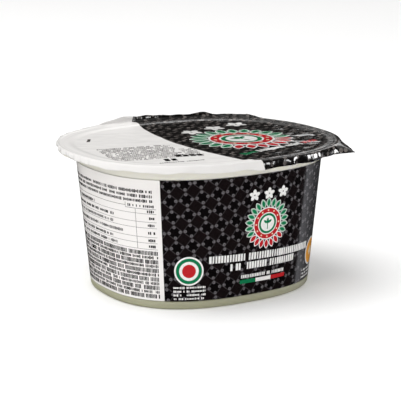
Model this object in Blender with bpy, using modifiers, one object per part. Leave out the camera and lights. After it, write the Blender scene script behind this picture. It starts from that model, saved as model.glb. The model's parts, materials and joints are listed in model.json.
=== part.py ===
"""A sealed tub of fresh cheese in its liquid, shut with a heat-sealed film lid.

Run with: blender --background --python part.py. Metres, +Z up. The origin is the middle of the
base that the tub stands on, +X runs along the tub's longer side and the lid's pull tab points
to the corner between +X and -Y.
"""

import math

import bmesh
import bpy
from mathutils import Vector

NAME = "sealed_cheese_tub"
MM = 0.001
SEGMENTS = 120
GAP = 0.3 * MM

# Plan: every level is a superellipse, between an oval and a rounded rectangle.
LENGTH_TO_WIDTH = 1.147
WALL_EXPONENT = 2.5
RIM_EXPONENT = 2.4

# The wall tapers in a straight line through the label's two edges. Halves are along +X.
LABEL_BOTTOM_Z = 4.3 * MM
LABEL_TOP_Z = 63.0 * MM
LABEL_BOTTOM_HALF = 53.2 * MM
LABEL_TOP_HALF = 58.8 * MM
LABEL_THICKNESS = 0.3 * MM
BASE_ROUNDING = 2.0 * MM

# Rim flange, with a lip that turns down round its edge. The flat band on its top is the seal, and
# inside that the film sinks a little into the mouth.
FLANGE_TOP_Z = 71.0 * MM
FLANGE_THICKNESS = 1.3 * MM
SHOULDER = 1.2 * MM
LIP_DEPTH = 2.8 * MM
LIP_WIDTH = 1.4 * MM
LIP_ROUNDING = 1.1 * MM
SEAL_WIDTH = 4.2 * MM
WELL_STEP = 1.5 * MM
WELL_DEPTH = 0.6 * MM

# Lid film: FOLD_HALF is where it leaves the flange, and its free edge lies beyond that. The bend
# starts FOLD_LEAD inside the fold and is drawn towards FOLD_CREST, out from the fold and up.
FILM_THICKNESS = 0.3 * MM
FOLD_HALF = 68.1 * MM
FOLD_LEAD = 1.0 * MM
FOLD_CREST = Vector((0.4, 0.9)) * MM
FLAT_PANEL_SHARE = 0.55
SCALLOP_HEIGHT = 0.35 * MM
FULL_DROP = 4.0 * MM

# Free edge of the film: angle in plan, reach out from the fold and rise above it, in mm. It is
# pressed down round most of the flange, drawn out to the pull tab, and stands up at the back.
EDGE_KEYS = (
    (-180, 0.3, -2.5),
    (-150, 0.4, -3.0),
    (-120, 0.5, -3.3),
    (-90, 0.5, -4.1),
    (-51, 0.6, -4.3),
    (-48, 2.4, -4.2),
    (-45, 8.5, -3.6),
    (-36, 1.8, -1.4),
    (-27, 0.5, -1.8),
    (-12, 0.5, -3.4),
    (27, 0.5, -3.4),
    (36, 1.6, 0.4),
    (42, 3.2, 1.7),
    (51, 3.0, 1.2),
    (60, 3.0, 2.3),
    (69, 3.2, 1.7),
    (93, 3.2, 2.2),
    (99, 3.4, 1.0),
    (120, 2.8, 0.7),
    (138, 0.9, 0.4),
    (150, 0.2, -1.2),
    (165, 0.2, -2.0),
    (180, 0.3, -2.5),
)


def outline_point(angle, half_length, exponent, z):
    """Point of the superellipse of this half length at a height, at an angle in its unstretched plan."""
    fullness = abs(math.cos(angle)) ** exponent + abs(math.sin(angle)) ** exponent
    reach = half_length * fullness ** (-1 / exponent)
    return Vector((reach * math.cos(angle), reach * math.sin(angle) / LENGTH_TO_WIDTH, z))


def level(half_length, z, exponent=WALL_EXPONENT):
    """One closed ring of points."""
    angles = (2 * math.pi * step / SEGMENTS for step in range(SEGMENTS))
    return [outline_point(angle, half_length, exponent, z) for angle in angles]


def wall_half(z):
    """Half length of the outer wall at a height."""
    share = (z - LABEL_BOTTOM_Z) / (LABEL_TOP_Z - LABEL_BOTTOM_Z)
    return LABEL_BOTTOM_HALF + (LABEL_TOP_HALF - LABEL_BOTTOM_HALF) * share


def add_ring(mesh, points):
    return [mesh.verts.new(point) for point in points]


def bridge(mesh, lower, upper):
    """Quads between two rings of the same count, facing out when the upper ring is higher."""
    count = len(lower)
    for index in range(count):
        after = (index + 1) % count
        mesh.faces.new((lower[index], lower[after], upper[after], upper[index]))


def finish_object(mesh, name, material, collection):
    """Turns the bmesh into a smooth-shaded object with sharp edges kept."""
    data = bpy.data.meshes.new(name)
    mesh.to_mesh(data)
    mesh.free()
    data.shade_smooth()
    data.set_sharp_from_angle(angle=math.radians(35))
    data.materials.append(material)
    obj = bpy.data.objects.new(name, data)
    collection.objects.link(obj)
    return obj


def make_material(name, color, roughness):
    material = bpy.data.materials.new(name)
    material.use_nodes = True
    shader = material.node_tree.nodes["Principled BSDF"]
    shader.inputs["Base Color"].default_value = (*color, 1)
    shader.inputs["Roughness"].default_value = roughness
    shader.inputs["Metallic"].default_value = 0
    return material


def quarter_turn(steps):
    """(sine, cosine) pairs from 0 to 90 degrees."""
    angles = (math.pi / 2 * step / steps for step in range(steps + 1))
    return [(math.sin(angle), math.cos(angle)) for angle in angles]


def wall_levels():
    """Base edge and outer wall, with the shallow recess that the label lies in."""
    base_half = wall_half(BASE_ROUNDING) - BASE_ROUNDING
    sections = [
        (base_half + BASE_ROUNDING * sine, BASE_ROUNDING * (1 - cosine)) for sine, cosine in quarter_turn(3)
    ]
    sunk = LABEL_THICKNESS + GAP
    for edge_z, order in ((LABEL_BOTTOM_Z - GAP, (0, sunk)), (LABEL_TOP_Z + GAP, (sunk, 0))):
        sections += [(wall_half(edge_z) - depth, edge_z) for depth in order]
    shoulder_z = FLANGE_TOP_Z - FLANGE_THICKNESS - SHOULDER
    sections.append((wall_half(shoulder_z), shoulder_z))
    return [level(half, z) for half, z in sections]


def rim_levels():
    """Underside of the flange, its lip, the seal band on top and the well inside it."""
    under_z = FLANGE_TOP_Z - FLANGE_THICKNESS
    lip_half = FOLD_HALF - GAP
    lip_bottom_z = FLANGE_TOP_Z - LIP_DEPTH
    sections = [
        (wall_half(under_z) + SHOULDER, under_z),
        (lip_half - LIP_WIDTH, under_z),
        (lip_half - LIP_WIDTH, lip_bottom_z),
        (lip_half, lip_bottom_z),
    ]
    sections += [
        (lip_half - LIP_ROUNDING * (1 - cosine), FLANGE_TOP_Z - LIP_ROUNDING * (1 - sine))
        for sine, cosine in quarter_turn(2)
    ]
    seal_half = FOLD_HALF - FOLD_LEAD - SEAL_WIDTH
    sections += [(seal_half, FLANGE_TOP_Z), (seal_half - WELL_STEP, FLANGE_TOP_Z - WELL_DEPTH)]
    return [level(half, z, RIM_EXPONENT) for half, z in sections]


def build_tub(material, collection):
    """Tub and contents: one solid, as nothing inside a shut tub can be seen."""
    mesh = bmesh.new()
    rings = [add_ring(mesh, points) for points in wall_levels() + rim_levels()]
    for lower, upper in zip(rings, rings[1:]):
        bridge(mesh, lower, upper)
    mesh.faces.new(reversed(rings[0]))
    mesh.faces.new(rings[-1])
    return finish_object(mesh, "tub", material, collection)


def build_label(material, collection):
    """Printed label: a thin band round the wall, flush with the bare plastic above and below it."""
    mesh = bmesh.new()
    outer = [level(wall_half(z), z) for z in (LABEL_BOTTOM_Z, LABEL_TOP_Z)]
    inner = [level(wall_half(z) - LABEL_THICKNESS, z) for z in (LABEL_TOP_Z, LABEL_BOTTOM_Z)]
    rings = [add_ring(mesh, points) for points in outer + inner]
    for lower, upper in zip(rings, rings[1:] + rings[:1]):
        bridge(mesh, lower, upper)
    return finish_object(mesh, "label", material, collection)


def free_edge(angle):
    """Reach and rise of the film's free edge from its fold, at an angle in plan."""
    degrees = math.degrees(angle)
    if degrees > 180:
        degrees -= 360
    for (start, reach_a, rise_a), (end, reach_b, rise_b) in zip(EDGE_KEYS, EDGE_KEYS[1:]):
        if start <= degrees <= end:
            share = (degrees - start) / (end - start)
            reach = (reach_a + (reach_b - reach_a) * share) * MM
            rise = (rise_a + (rise_b - rise_a) * share) * MM
            break
    scallop = SCALLOP_HEIGHT * (0.6 * math.sin(17 * angle) + 0.4 * math.sin(29 * angle + 1))
    pressed_down = min(1, max(0, -rise / FULL_DROP))
    return Vector((reach, rise + scallop * pressed_down))


def skirt_ring(share):
    """Points of the film beyond the seal: 0 is where it starts to bend and 1 is its free edge."""
    points = []
    start = Vector((-FOLD_LEAD, 0))
    for step in range(SEGMENTS):
        angle = 2 * math.pi * step / SEGMENTS
        bend = (1 - share) ** 2 * start + 2 * share * (1 - share) * FOLD_CREST + share**2 * free_edge(angle)
        points.append(outline_point(angle, FOLD_HALF + bend.x, RIM_EXPONENT, FLANGE_TOP_Z + GAP + bend.y))
    return points


def build_lid_film(material, collection):
    """Lid film: a sunk panel, a flat sealed band on the flange and a skirt with the pull tab."""
    mesh = bmesh.new()
    seal_z = FLANGE_TOP_Z + GAP
    panel_z = seal_z - WELL_DEPTH
    seal_half = FOLD_HALF - FOLD_LEAD - SEAL_WIDTH
    panel_half = seal_half - WELL_STEP
    levels = [
        level(panel_half * FLAT_PANEL_SHARE, panel_z, RIM_EXPONENT),
        level(panel_half, panel_z, RIM_EXPONENT),
        level(seal_half, seal_z, RIM_EXPONENT),
    ]
    levels += [skirt_ring(share) for share in (0, 0.3, 0.6, 1)]
    rings = [add_ring(mesh, points) for points in levels]
    mesh.faces.new(rings[0])
    for inner, outer in zip(rings, rings[1:]):
        bridge(mesh, outer, inner)
    obj = finish_object(mesh, "lid_film", material, collection)
    wall = obj.modifiers.new("film_thickness", "SOLIDIFY")
    wall.thickness = FILM_THICKNESS
    wall.offset = 1
    return obj


def main():
    for obj in list(bpy.data.objects):
        bpy.data.objects.remove(obj)
    collection = bpy.data.collections.new(NAME)
    bpy.context.scene.collection.children.link(collection)
    build_tub(make_material("milky_plastic", (0.58, 0.58, 0.45), 0.35), collection)
    build_label(make_material("printed_label", (0.03, 0.03, 0.03), 0.3), collection)
    build_lid_film(make_material("printed_film", (0.75, 0.73, 0.72), 0.3), collection)


main()
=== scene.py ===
"""Looks of a sealed tub of fresh cheese in its liquid.

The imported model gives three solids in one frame: the tub, the label round its wall and the film
sealed over its mouth. Each gets a finer mesh made by the same rule here, and the print is laid on
the label and the film as thin plates of ink. Metres, +Z up: the origin is the middle of the base,
+X runs along the longer side and the pull tab points between +X and -Y.
"""

from __future__ import annotations

import json
import logging
import math
from dataclasses import dataclass, field
from enum import Enum
from typing import Any, Iterator, Sequence

import bmesh
import bpy
import numpy as np
from mathutils import Matrix, Vector

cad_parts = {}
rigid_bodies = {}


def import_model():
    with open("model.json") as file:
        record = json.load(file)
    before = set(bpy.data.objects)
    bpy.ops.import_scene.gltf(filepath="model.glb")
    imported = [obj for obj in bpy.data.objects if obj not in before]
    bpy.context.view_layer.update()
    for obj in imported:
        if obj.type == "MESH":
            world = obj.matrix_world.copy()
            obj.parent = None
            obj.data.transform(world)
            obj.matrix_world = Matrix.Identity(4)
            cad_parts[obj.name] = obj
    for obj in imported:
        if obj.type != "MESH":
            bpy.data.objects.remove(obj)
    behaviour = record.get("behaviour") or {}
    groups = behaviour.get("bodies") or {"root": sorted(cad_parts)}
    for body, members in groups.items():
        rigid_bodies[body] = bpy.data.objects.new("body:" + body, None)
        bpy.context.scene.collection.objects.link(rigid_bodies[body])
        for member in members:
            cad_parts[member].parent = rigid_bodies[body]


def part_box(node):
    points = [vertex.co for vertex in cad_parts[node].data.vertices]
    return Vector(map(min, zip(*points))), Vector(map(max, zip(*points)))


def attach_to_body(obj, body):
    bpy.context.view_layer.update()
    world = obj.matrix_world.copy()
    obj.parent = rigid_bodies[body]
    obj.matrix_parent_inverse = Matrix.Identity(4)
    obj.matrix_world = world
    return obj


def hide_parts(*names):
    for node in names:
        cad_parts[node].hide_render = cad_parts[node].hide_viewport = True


for leftover in list(bpy.data.objects):
    bpy.data.objects.remove(leftover)
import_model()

LOG = logging.getLogger("sealed_cheese_tub")
MM = 0.001
BODY = "root"

MATH = "ShaderNodeMath"
VECTOR_MATH = "ShaderNodeVectorMath"
MAP_RANGE = "ShaderNodeMapRange"
MIX = "ShaderNodeMix"


class Slot(Enum):
    """Material slots of the record."""

    PLASTIC = "milky_plastic"
    LABEL = "printed_label"
    FILM = "printed_film"


# ---------------------------------------------------------------- plan and wall of the tub


@dataclass(frozen=True)
class Outline:
    """Plan outline between an oval and a rounded rectangle, longer along X.

    Args:
        exponent: 2 is an oval, and a larger one fills the corners out.
        stretch: length over width.
    """

    exponent: float
    stretch: float = 1.147

    def points(self, angles: np.ndarray, halves: np.ndarray | float) -> np.ndarray:
        """Plan points.

        Args:
            angles: angles in the unstretched plan, in radians.
            halves: half lengths along X at those angles.

        Returns:
            The points, with X and Y in the last axis.
        """
        cosine, sine = np.cos(angles), np.sin(angles)
        fullness = np.abs(cosine) ** self.exponent + np.abs(sine) ** self.exponent
        reach = halves * fullness ** (-1 / self.exponent)
        return np.stack([reach * cosine, reach * sine / self.stretch], -1)

    def arc_shares(self, angles: np.ndarray, seam: float) -> np.ndarray:
        """Share of the perimeter from the seam to each angle, turning the way that angles grow.

        Args:
            angles: angles in the unstretched plan, in radians.
            seam: angle where the share is 0.

        Returns:
            Shares from 0 to 1.
        """
        steps = np.linspace(seam, seam + 2 * math.pi, 7201)
        lengths = np.linalg.norm(np.diff(self.points(steps, 1.0), axis=0), axis=1)
        covered = np.concatenate([[0], np.cumsum(lengths)]) / lengths.sum()
        return np.interp((angles - seam) % (2 * math.pi) + seam, steps, covered)

    def perimeter(self, half: float) -> float:
        """Length round the outline of this half length."""
        steps = np.linspace(0, 2 * math.pi, 7201)
        return float(np.linalg.norm(np.diff(self.points(steps, half), axis=0), axis=1).sum())


WALL = Outline(exponent=2.5)
RIM = Outline(exponent=2.4)


@dataclass(frozen=True)
class TubSizes:
    """Driving sizes of the tub, in metres. The heights and lengths of the nodes come from the frame."""

    gap: float = 0.3 * MM
    label_bottom_half: float = 53.2 * MM
    label_top_half: float = 58.8 * MM
    label_thickness: float = 0.3 * MM
    base_rounding: float = 2.0 * MM
    flange_top_z: float = 71.0 * MM
    flange_thickness: float = 1.3 * MM
    shoulder: float = 1.2 * MM
    lip_depth: float = 2.8 * MM
    lip_width: float = 1.4 * MM
    lip_rounding: float = 1.1 * MM
    fold_half: float = 68.1 * MM
    fold_lead: float = 1.0 * MM
    seal_width: float = 4.2 * MM
    well_step: float = 1.5 * MM
    well_depth: float = 0.6 * MM

    @property
    def label_bottom_z(self) -> float:
        """Height of the label's lower edge."""
        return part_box("label")[0].z

    @property
    def label_top_z(self) -> float:
        """Height of the label's upper edge."""
        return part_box("label")[1].z

    def wall_half(self, z: float) -> float:
        """Half length of the outer wall at a height."""
        share = (z - self.label_bottom_z) / (self.label_top_z - self.label_bottom_z)
        return self.label_bottom_half + (self.label_top_half - self.label_bottom_half) * share

    @property
    def seal_half(self) -> float:
        """Half length of the inner edge of the sealed band."""
        return self.fold_half - self.fold_lead - self.seal_width

    @property
    def panel_half(self) -> float:
        """Half length of the sunk panel of the film."""
        return self.seal_half - self.well_step

    @property
    def label_length(self) -> float:
        """Length of the label laid flat, taken at mid height."""
        return WALL.perimeter((self.label_bottom_half + self.label_top_half) / 2)

    @property
    def label_height(self) -> float:
        """Height of the label."""
        return self.label_top_z - self.label_bottom_z

    @property
    def fan_radius(self) -> float:
        """Radius of the label's blank laid flat, at mid height."""
        taper = (self.label_top_half - self.label_bottom_half) / self.label_height
        return (self.label_top_half + self.label_bottom_half) / 2 / taper


SIZES = TubSizes()
SEAM_ANGLE = -math.pi  # The label's ends meet at -X, in the white panel.
SEAM_SHARE = 0.25  # Share of its length from there to the middle of the -Y side.

# ---------------------------------------------------------------- nodes, colours and modifiers


def linear(hex_colour: str) -> tuple[float, float, float, float]:
    """Turns an sRGB hex colour to linear RGBA.

    Args:
        hex_colour: such as "#1f8a4c".

    Returns:
        Linear red, green and blue, and alpha 1.
    """
    channels = [int(hex_colour[index : index + 2], 16) / 255 for index in (1, 3, 5)]
    red, green, blue = (c / 12.92 if c <= 0.04045 else ((c + 0.055) / 1.055) ** 2.4 for c in channels)
    return red, green, blue, 1.0


def add(tree: bpy.types.NodeTree, kind: str, inputs: dict[int | str, Any] | None = None, **settings: Any) -> Any:
    """Adds one node with its settings and links.

    Args:
        tree: tree to add to.
        kind: the node's type name.
        inputs: value, socket or node for each input, by name or by place among the enabled ones.
            A node stands for its first enabled output.
        settings: properties of the node, set before its inputs.

    Returns:
        The node.
    """
    node = tree.nodes.new(kind)
    for name, value in settings.items():
        setattr(node, name, value)
    enabled = [socket for socket in node.inputs if socket.enabled]
    for key, value in (inputs or {}).items():
        socket = enabled[key] if isinstance(key, int) else next(s for s in enabled if s.name == key)
        if isinstance(value, bpy.types.Node):
            value = next(s for s in value.outputs if s.enabled)
        if isinstance(value, bpy.types.NodeSocket):
            tree.links.new(value, socket)
        else:
            socket.default_value = value
    return node


def new_tree(name: str, kind: str, inputs: dict[str, tuple[str, Any]], outputs: dict[str, str]) -> bpy.types.NodeTree:
    """Makes an empty node group with named sockets.

    Args:
        name: name of the group.
        kind: "GeometryNodeTree" or "ShaderNodeTree".
        inputs: socket type and default, or None, for each input.
        outputs: socket type for each output.

    Returns:
        The group, with no nodes yet.
    """
    tree = bpy.data.node_groups.new(name, kind)
    for socket_name, (socket_type, default) in inputs.items():
        socket = tree.interface.new_socket(socket_name, in_out="INPUT", socket_type=socket_type)
        if default is not None:
            socket.default_value = default
    for socket_name, socket_type in outputs.items():
        tree.interface.new_socket(socket_name, in_out="OUTPUT", socket_type=socket_type)
    return tree


def attach(obj: bpy.types.Object, tree: bpy.types.NodeTree, values: dict[str, Any]) -> None:
    """Puts a Geometry Nodes modifier on an object.

    Args:
        obj: object that gets the modifier.
        tree: the modifier's node group.
        values: values of the group's inputs by name.
    """
    modifier = obj.modifiers.new(tree.name, "NODES")
    modifier.node_group = tree
    numbers = {"NodeSocketInt": int, "NodeSocketFloat": float}
    for item in tree.interface.items_tree:
        if item.item_type == "SOCKET" and item.in_out == "INPUT" and item.name in values:
            value = values[item.name]
            modifier[item.identifier] = numbers.get(item.socket_type, lambda same: same)(value)


def bake(obj: bpy.types.Object) -> bpy.types.Object:
    """Replaces an object's mesh by its evaluated one and takes its modifiers off."""
    bpy.context.view_layer.update()
    graph = bpy.context.evaluated_depsgraph_get()
    mesh = bpy.data.meshes.new_from_object(obj.evaluated_get(graph), preserve_all_data_layers=True, depsgraph=graph)
    obj.modifiers.clear()
    mesh.name = obj.name
    obj.data = mesh
    return obj


def link_object(name: str, mesh: bpy.types.Mesh) -> bpy.types.Object:
    """Makes an object of a mesh in the scene."""
    obj = bpy.data.objects.new(name, mesh)
    bpy.context.scene.collection.objects.link(obj)
    return obj


def settle(obj: bpy.types.Object, slot: Slot, *nodes: str) -> None:
    """Makes a finished piece ride on the body and hides the nodes that it replaces.

    Args:
        obj: the finished piece.
        slot: material slot of the record; not used.
        nodes: nodes that the piece replaces.
    """
    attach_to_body(obj, BODY)
    if nodes:
        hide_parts(*nodes)
    LOG.info("%s: %d faces", obj.name, len(obj.data.polygons))


# ---------------------------------------------------------------- finishes


def new_material(name: str) -> tuple[bpy.types.Material, bpy.types.NodeTree, Any]:
    """Makes a material with only its output.

    Args:
        name: name of the material.

    Returns:
        The material, its node tree and its output node.
    """
    material = bpy.data.materials.new(name)
    material.use_nodes = True
    tree = material.node_tree
    tree.nodes.clear()
    return material, tree, add(tree, "ShaderNodeOutputMaterial")


def lattice_group() -> bpy.types.NodeTree:
    """Builds the printed diamond lattice, a common pattern of small and large diamonds.

    Returns:
        A group that turns millimetres on the sheet into masks of the knots, their dark cores, the
        thin lines between them and the large diamonds.
    """
    group = new_tree(
        "diamond_lattice",
        "ShaderNodeTree",
        {
            "Place": ("NodeSocketVector", None),
            "Pitch": ("NodeSocketVector", None),
            "Knot Radius": ("NodeSocketFloat", 0.098),
        },
        {
            "Knot": "NodeSocketFloat",
            "Core": "NodeSocketFloat",
            "Line": "NodeSocketFloat",
            "Large": "NodeSocketFloat",
        },
    )
    knot_place, core_radius, edge_place, line_half = 0.34, 0.035, 0.5, 0.024
    given = add(group, "NodeGroupInput")
    cells = add(group, VECTOR_MATH, {0: given.outputs["Place"], 1: given.outputs["Pitch"]}, operation="DIVIDE")
    inside = add(group, VECTOR_MATH, {0: cells}, operation="FRACTION")
    centred = add(group, VECTOR_MATH, {0: inside, 1: (0.5, 0.5, 0.0)}, operation="SUBTRACT")
    folded = add(group, "ShaderNodeSeparateXYZ", {0: add(group, VECTOR_MATH, {0: centred}, operation="ABSOLUTE")})
    x, y = folded.outputs["X"], folded.outputs["Y"]
    along = add(
        group, MATH, {0: add(group, MATH, {0: x, 1: y}, operation="MAXIMUM"), 1: knot_place}, operation="SUBTRACT"
    )
    across = add(group, MATH, {0: x, 1: y}, operation="MINIMUM")
    from_knot = add(
        group, VECTOR_MATH, {0: add(group, "ShaderNodeCombineXYZ", {0: along, 1: across})}, operation="LENGTH"
    )
    knot = add(
        group, MATH, {0: from_knot.outputs["Value"], 1: given.outputs["Knot Radius"]}, operation="SUBTRACT"
    )
    sum_xy = add(group, MATH, {0: x, 1: y}, operation="ADD")
    from_line = add(group, MATH, {0: sum_xy, 1: edge_place}, operation="SUBTRACT")
    masks = {
        "Knot": (knot, 0.0, 0.02),
        "Core": (from_knot.outputs["Value"], core_radius, 0.015),
        "Line": (add(group, MATH, {0: from_line}, operation="ABSOLUTE"), line_half, 0.012),
        "Large": (add(group, MATH, {0: 1.0, 1: sum_xy}, operation="SUBTRACT"), edge_place, 0.01),
    }
    result = add(group, "NodeGroupOutput")
    for name, (distance, limit, softness) in masks.items():
        mask = add(
            group,
            MAP_RANGE,
            {0: distance, 1: limit + softness, 2: limit - softness},
            interpolation_type="SMOOTHSTEP",
        )
        group.links.new(mask.outputs[0], result.inputs[name])
    return group


@dataclass(frozen=True)
class Ripple:
    """Unevenness of a film's gloss, shared by the film and the ink on it.

    Args:
        scale: noise scale in object coordinates, per metre.
        detail: octaves of the noise.
        strength: strength of the bump.
        height: height of the bump, in metres.
    """

    scale: float
    detail: float
    strength: float
    height: float

    def bump(self, tree: bpy.types.NodeTree, place: Any, share: Any = 1.0) -> Any:
        """Adds the bump.

        Args:
            tree: the material's tree.
            place: socket of the object coordinates.
            share: share of the strength, as a number or a socket.

        Returns:
            The bump node.
        """
        noise = add(tree, "ShaderNodeTexNoise", {"Vector": place, "Scale": self.scale, "Detail": self.detail})
        strength = add(tree, MATH, {0: share, 1: self.strength}, operation="MULTIPLY")
        return add(tree, "ShaderNodeBump", {"Height": noise.outputs[0], "Strength": strength, "Distance": self.height})


LABEL_RIPPLE = Ripple(scale=160.0, detail=2.0, strength=0.12, height=0.25 * MM)
FILM_RIPPLE = Ripple(scale=170.0, detail=3.0, strength=0.6, height=0.4 * MM)


@dataclass(frozen=True)
class NaturalPolypropylene:
    """Unpigmented polypropylene, thermoformed thin: milky, with the liquid behind it showing through."""

    # high and low are the wall's colours at the top and at the base; the darker low colour is partly the liquid behind
    # the wall and partly painted shade.
    high: str = "#dcdad0"
    low: str = "#aaa98f"
    roughness: float = 0.32

    def material(self) -> bpy.types.Material:
        """Builds the material. The wall is clearer and yellower low down, where the liquid stands against it, and it
        is also darker there as painted shade.
        """
        material, tree, output = new_material("thermoformed_natural_polypropylene")
        place = add(tree, "ShaderNodeTexCoord").outputs["Object"]
        height = add(tree, "ShaderNodeSeparateXYZ", {0: place}).outputs["Z"]
        cloud = add(tree, "ShaderNodeTexNoise", {"Vector": place, "Scale": 55.0, "Detail": 3.0})
        # Painted shade: the colour darkens from the top of the wall down to the base, partly for the liquid behind it
        # and partly for shade near the floor.
        level = add(tree, MAP_RANGE, {0: height, 1: 1.0 * MM, 2: 66.0 * MM})
        liquid_tint_and_painted_shade = add(
            tree,
            MIX,
            {"Factor": level, "A": linear(self.low), "B": linear(self.high)},
            data_type="RGBA",
        )
        varied = add(
            tree,
            MAP_RANGE,
            {0: cloud.outputs[0], 3: 0.93, 4: 1.05},
        )
        tinted = add(
            tree,
            VECTOR_MATH,
            {0: liquid_tint_and_painted_shade, "Scale": varied},
            operation="SCALE",
        )
        # Flow marks of the forming, about 2 mm apart, blur what the gloss reflects.
        marks = add(tree, "ShaderNodeTexNoise", {"Vector": place, "Scale": 420.0, "Detail": 2.0})
        bump = add(tree, "ShaderNodeBump", {"Height": marks.outputs[0], "Strength": 0.08, "Distance": 0.1 * MM})
        shader = add(
            tree,
            "ShaderNodeBsdfPrincipled",
            {
                "Base Color": tinted,
                "Roughness": self.roughness,
                "IOR": 1.49,
                "Subsurface Weight": 0.35,
                "Subsurface Radius": (1.0, 1.0, 0.7),
                "Subsurface Scale": 1.5 * MM,
                "Normal": bump,
            },
        )
        tree.links.new(shader.outputs[0], output.inputs["Surface"])
        return material


@dataclass(frozen=True)
class PrintedLabel:
    """In-mould label of polypropylene film, gravure printed: a black field with a grey lattice and a white panel."""

    black: str = "#0d0a0b"
    large: str = "#171112"
    grey: str = "#6a676a"
    line: str = "#444143"
    white: str = "#f1eeec"
    pitch: float = 7.5
    turn: float = 10.0
    shift: tuple[float, float] = (1.25, 5.0)
    panel_edge: float = -44.4
    roughness: float = 0.13

    def moved(self) -> tuple[float, float, float]:
        """The pattern's shift, turned with it."""
        return (-self.shift[0], -self.shift[1], 0.0)

    def material(self, lattice: bpy.types.NodeTree, length: float) -> bpy.types.Material:
        """Builds the material.

        Args:
            lattice: the lattice group.
            length: length of the flat label, in metres.

        Returns:
            The material. It reads the label's own map, whose unit is the label's length.
        """
        material, tree, output = new_material("gravure_printed_polypropylene_label")
        length_mm = length / MM
        own_map = add(tree, "ShaderNodeUVMap", uv_map="wrap")
        place = add(
            tree,
            VECTOR_MATH,
            {0: own_map, 1: (length_mm,) * 3, 2: (-length_mm * SEAM_SHARE, 0.0, 0.0)},
            operation="MULTIPLY_ADD",
        )
        flat = add(tree, "ShaderNodeSeparateXYZ", {0: place})
        # The blank of a tapered wall is a fan, so a straight pattern on it turns as it goes round.
        fan = SIZES.fan_radius / MM
        angle = add(tree, MATH, {0: flat.outputs["X"], 1: fan}, operation="DIVIDE")
        radius = add(
            tree, MATH, {0: flat.outputs["Y"], 1: fan - SIZES.label_height / MM / 2}, operation="ADD"
        )
        on_fan = add(
            tree,
            "ShaderNodeCombineXYZ",
            {
                0: add(
                    tree,
                    MATH,
                    {0: radius, 1: add(tree, MATH, {0: angle}, operation="SINE")},
                    operation="MULTIPLY",
                ),
                1: add(
                    tree,
                    MATH,
                    {
                        0: radius,
                        1: add(tree, MATH, {0: angle}, operation="COSINE"),
                        2: SIZES.label_height / MM / 2 - fan,
                    },
                    operation="MULTIPLY_ADD",
                ),
            },
        )
        turned = add(
            tree,
            "ShaderNodeMapping",
            {"Vector": on_fan, "Rotation": (0.0, 0.0, -math.radians(self.turn)), "Location": self.moved()},
        )
        pattern = add(tree, "ShaderNodeGroup", node_tree=lattice)
        tree.links.new(turned.outputs[0], pattern.inputs["Place"])
        pattern.inputs["Pitch"].default_value = (self.pitch, self.pitch, 1.0)
        wear = add(tree, "ShaderNodeTexNoise", {"Vector": place, "Scale": 0.9, "Detail": 3.0})
        ink = linear(self.black)
        for mask, colour in (
            ("Large", self.large),
            ("Line", self.line),
            ("Knot", self.grey),
            ("Core", self.line),
        ):
            ink = add(
                tree,
                MIX,
                {"Factor": pattern.outputs[mask], "A": ink, "B": linear(colour)},
                data_type="RGBA",
            )
        # The grey is a half-tone, so it takes the ink unevenly.
        uneven = add(tree, MAP_RANGE, {0: wear.outputs[0], 1: 0.3, 2: 0.7, 3: 0.75, 4: 1.15})
        ink = add(tree, VECTOR_MATH, {0: ink, "Scale": uneven}, operation="SCALE")
        # The white panel lies evenly to both sides of the seam, so it starts as far from +X each way.
        far_end = length_mm * (0.5 - SEAM_SHARE)
        offset = add(tree, MATH, {0: flat.outputs["X"], 1: far_end}, operation="SUBTRACT")
        from_far_end = add(tree, MATH, {0: offset}, operation="ABSOLUTE")
        edge = far_end - self.panel_edge
        panel = add(tree, MAP_RANGE, {0: from_far_end, 1: edge - 0.08, 2: edge + 0.08})
        colour = add(
            tree,
            MIX,
            {"Factor": panel, "A": ink, "B": linear(self.white)},
            data_type="RGBA",
        )
        bump = LABEL_RIPPLE.bump(tree, add(tree, "ShaderNodeTexCoord").outputs["Object"])
        shader = add(
            tree,
            "ShaderNodeBsdfPrincipled",
            {"Base Color": colour, "Roughness": self.roughness, "IOR": 1.49, "Normal": bump},
        )
        tree.links.new(shader.outputs[0], output.inputs["Surface"])
        return material


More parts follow.
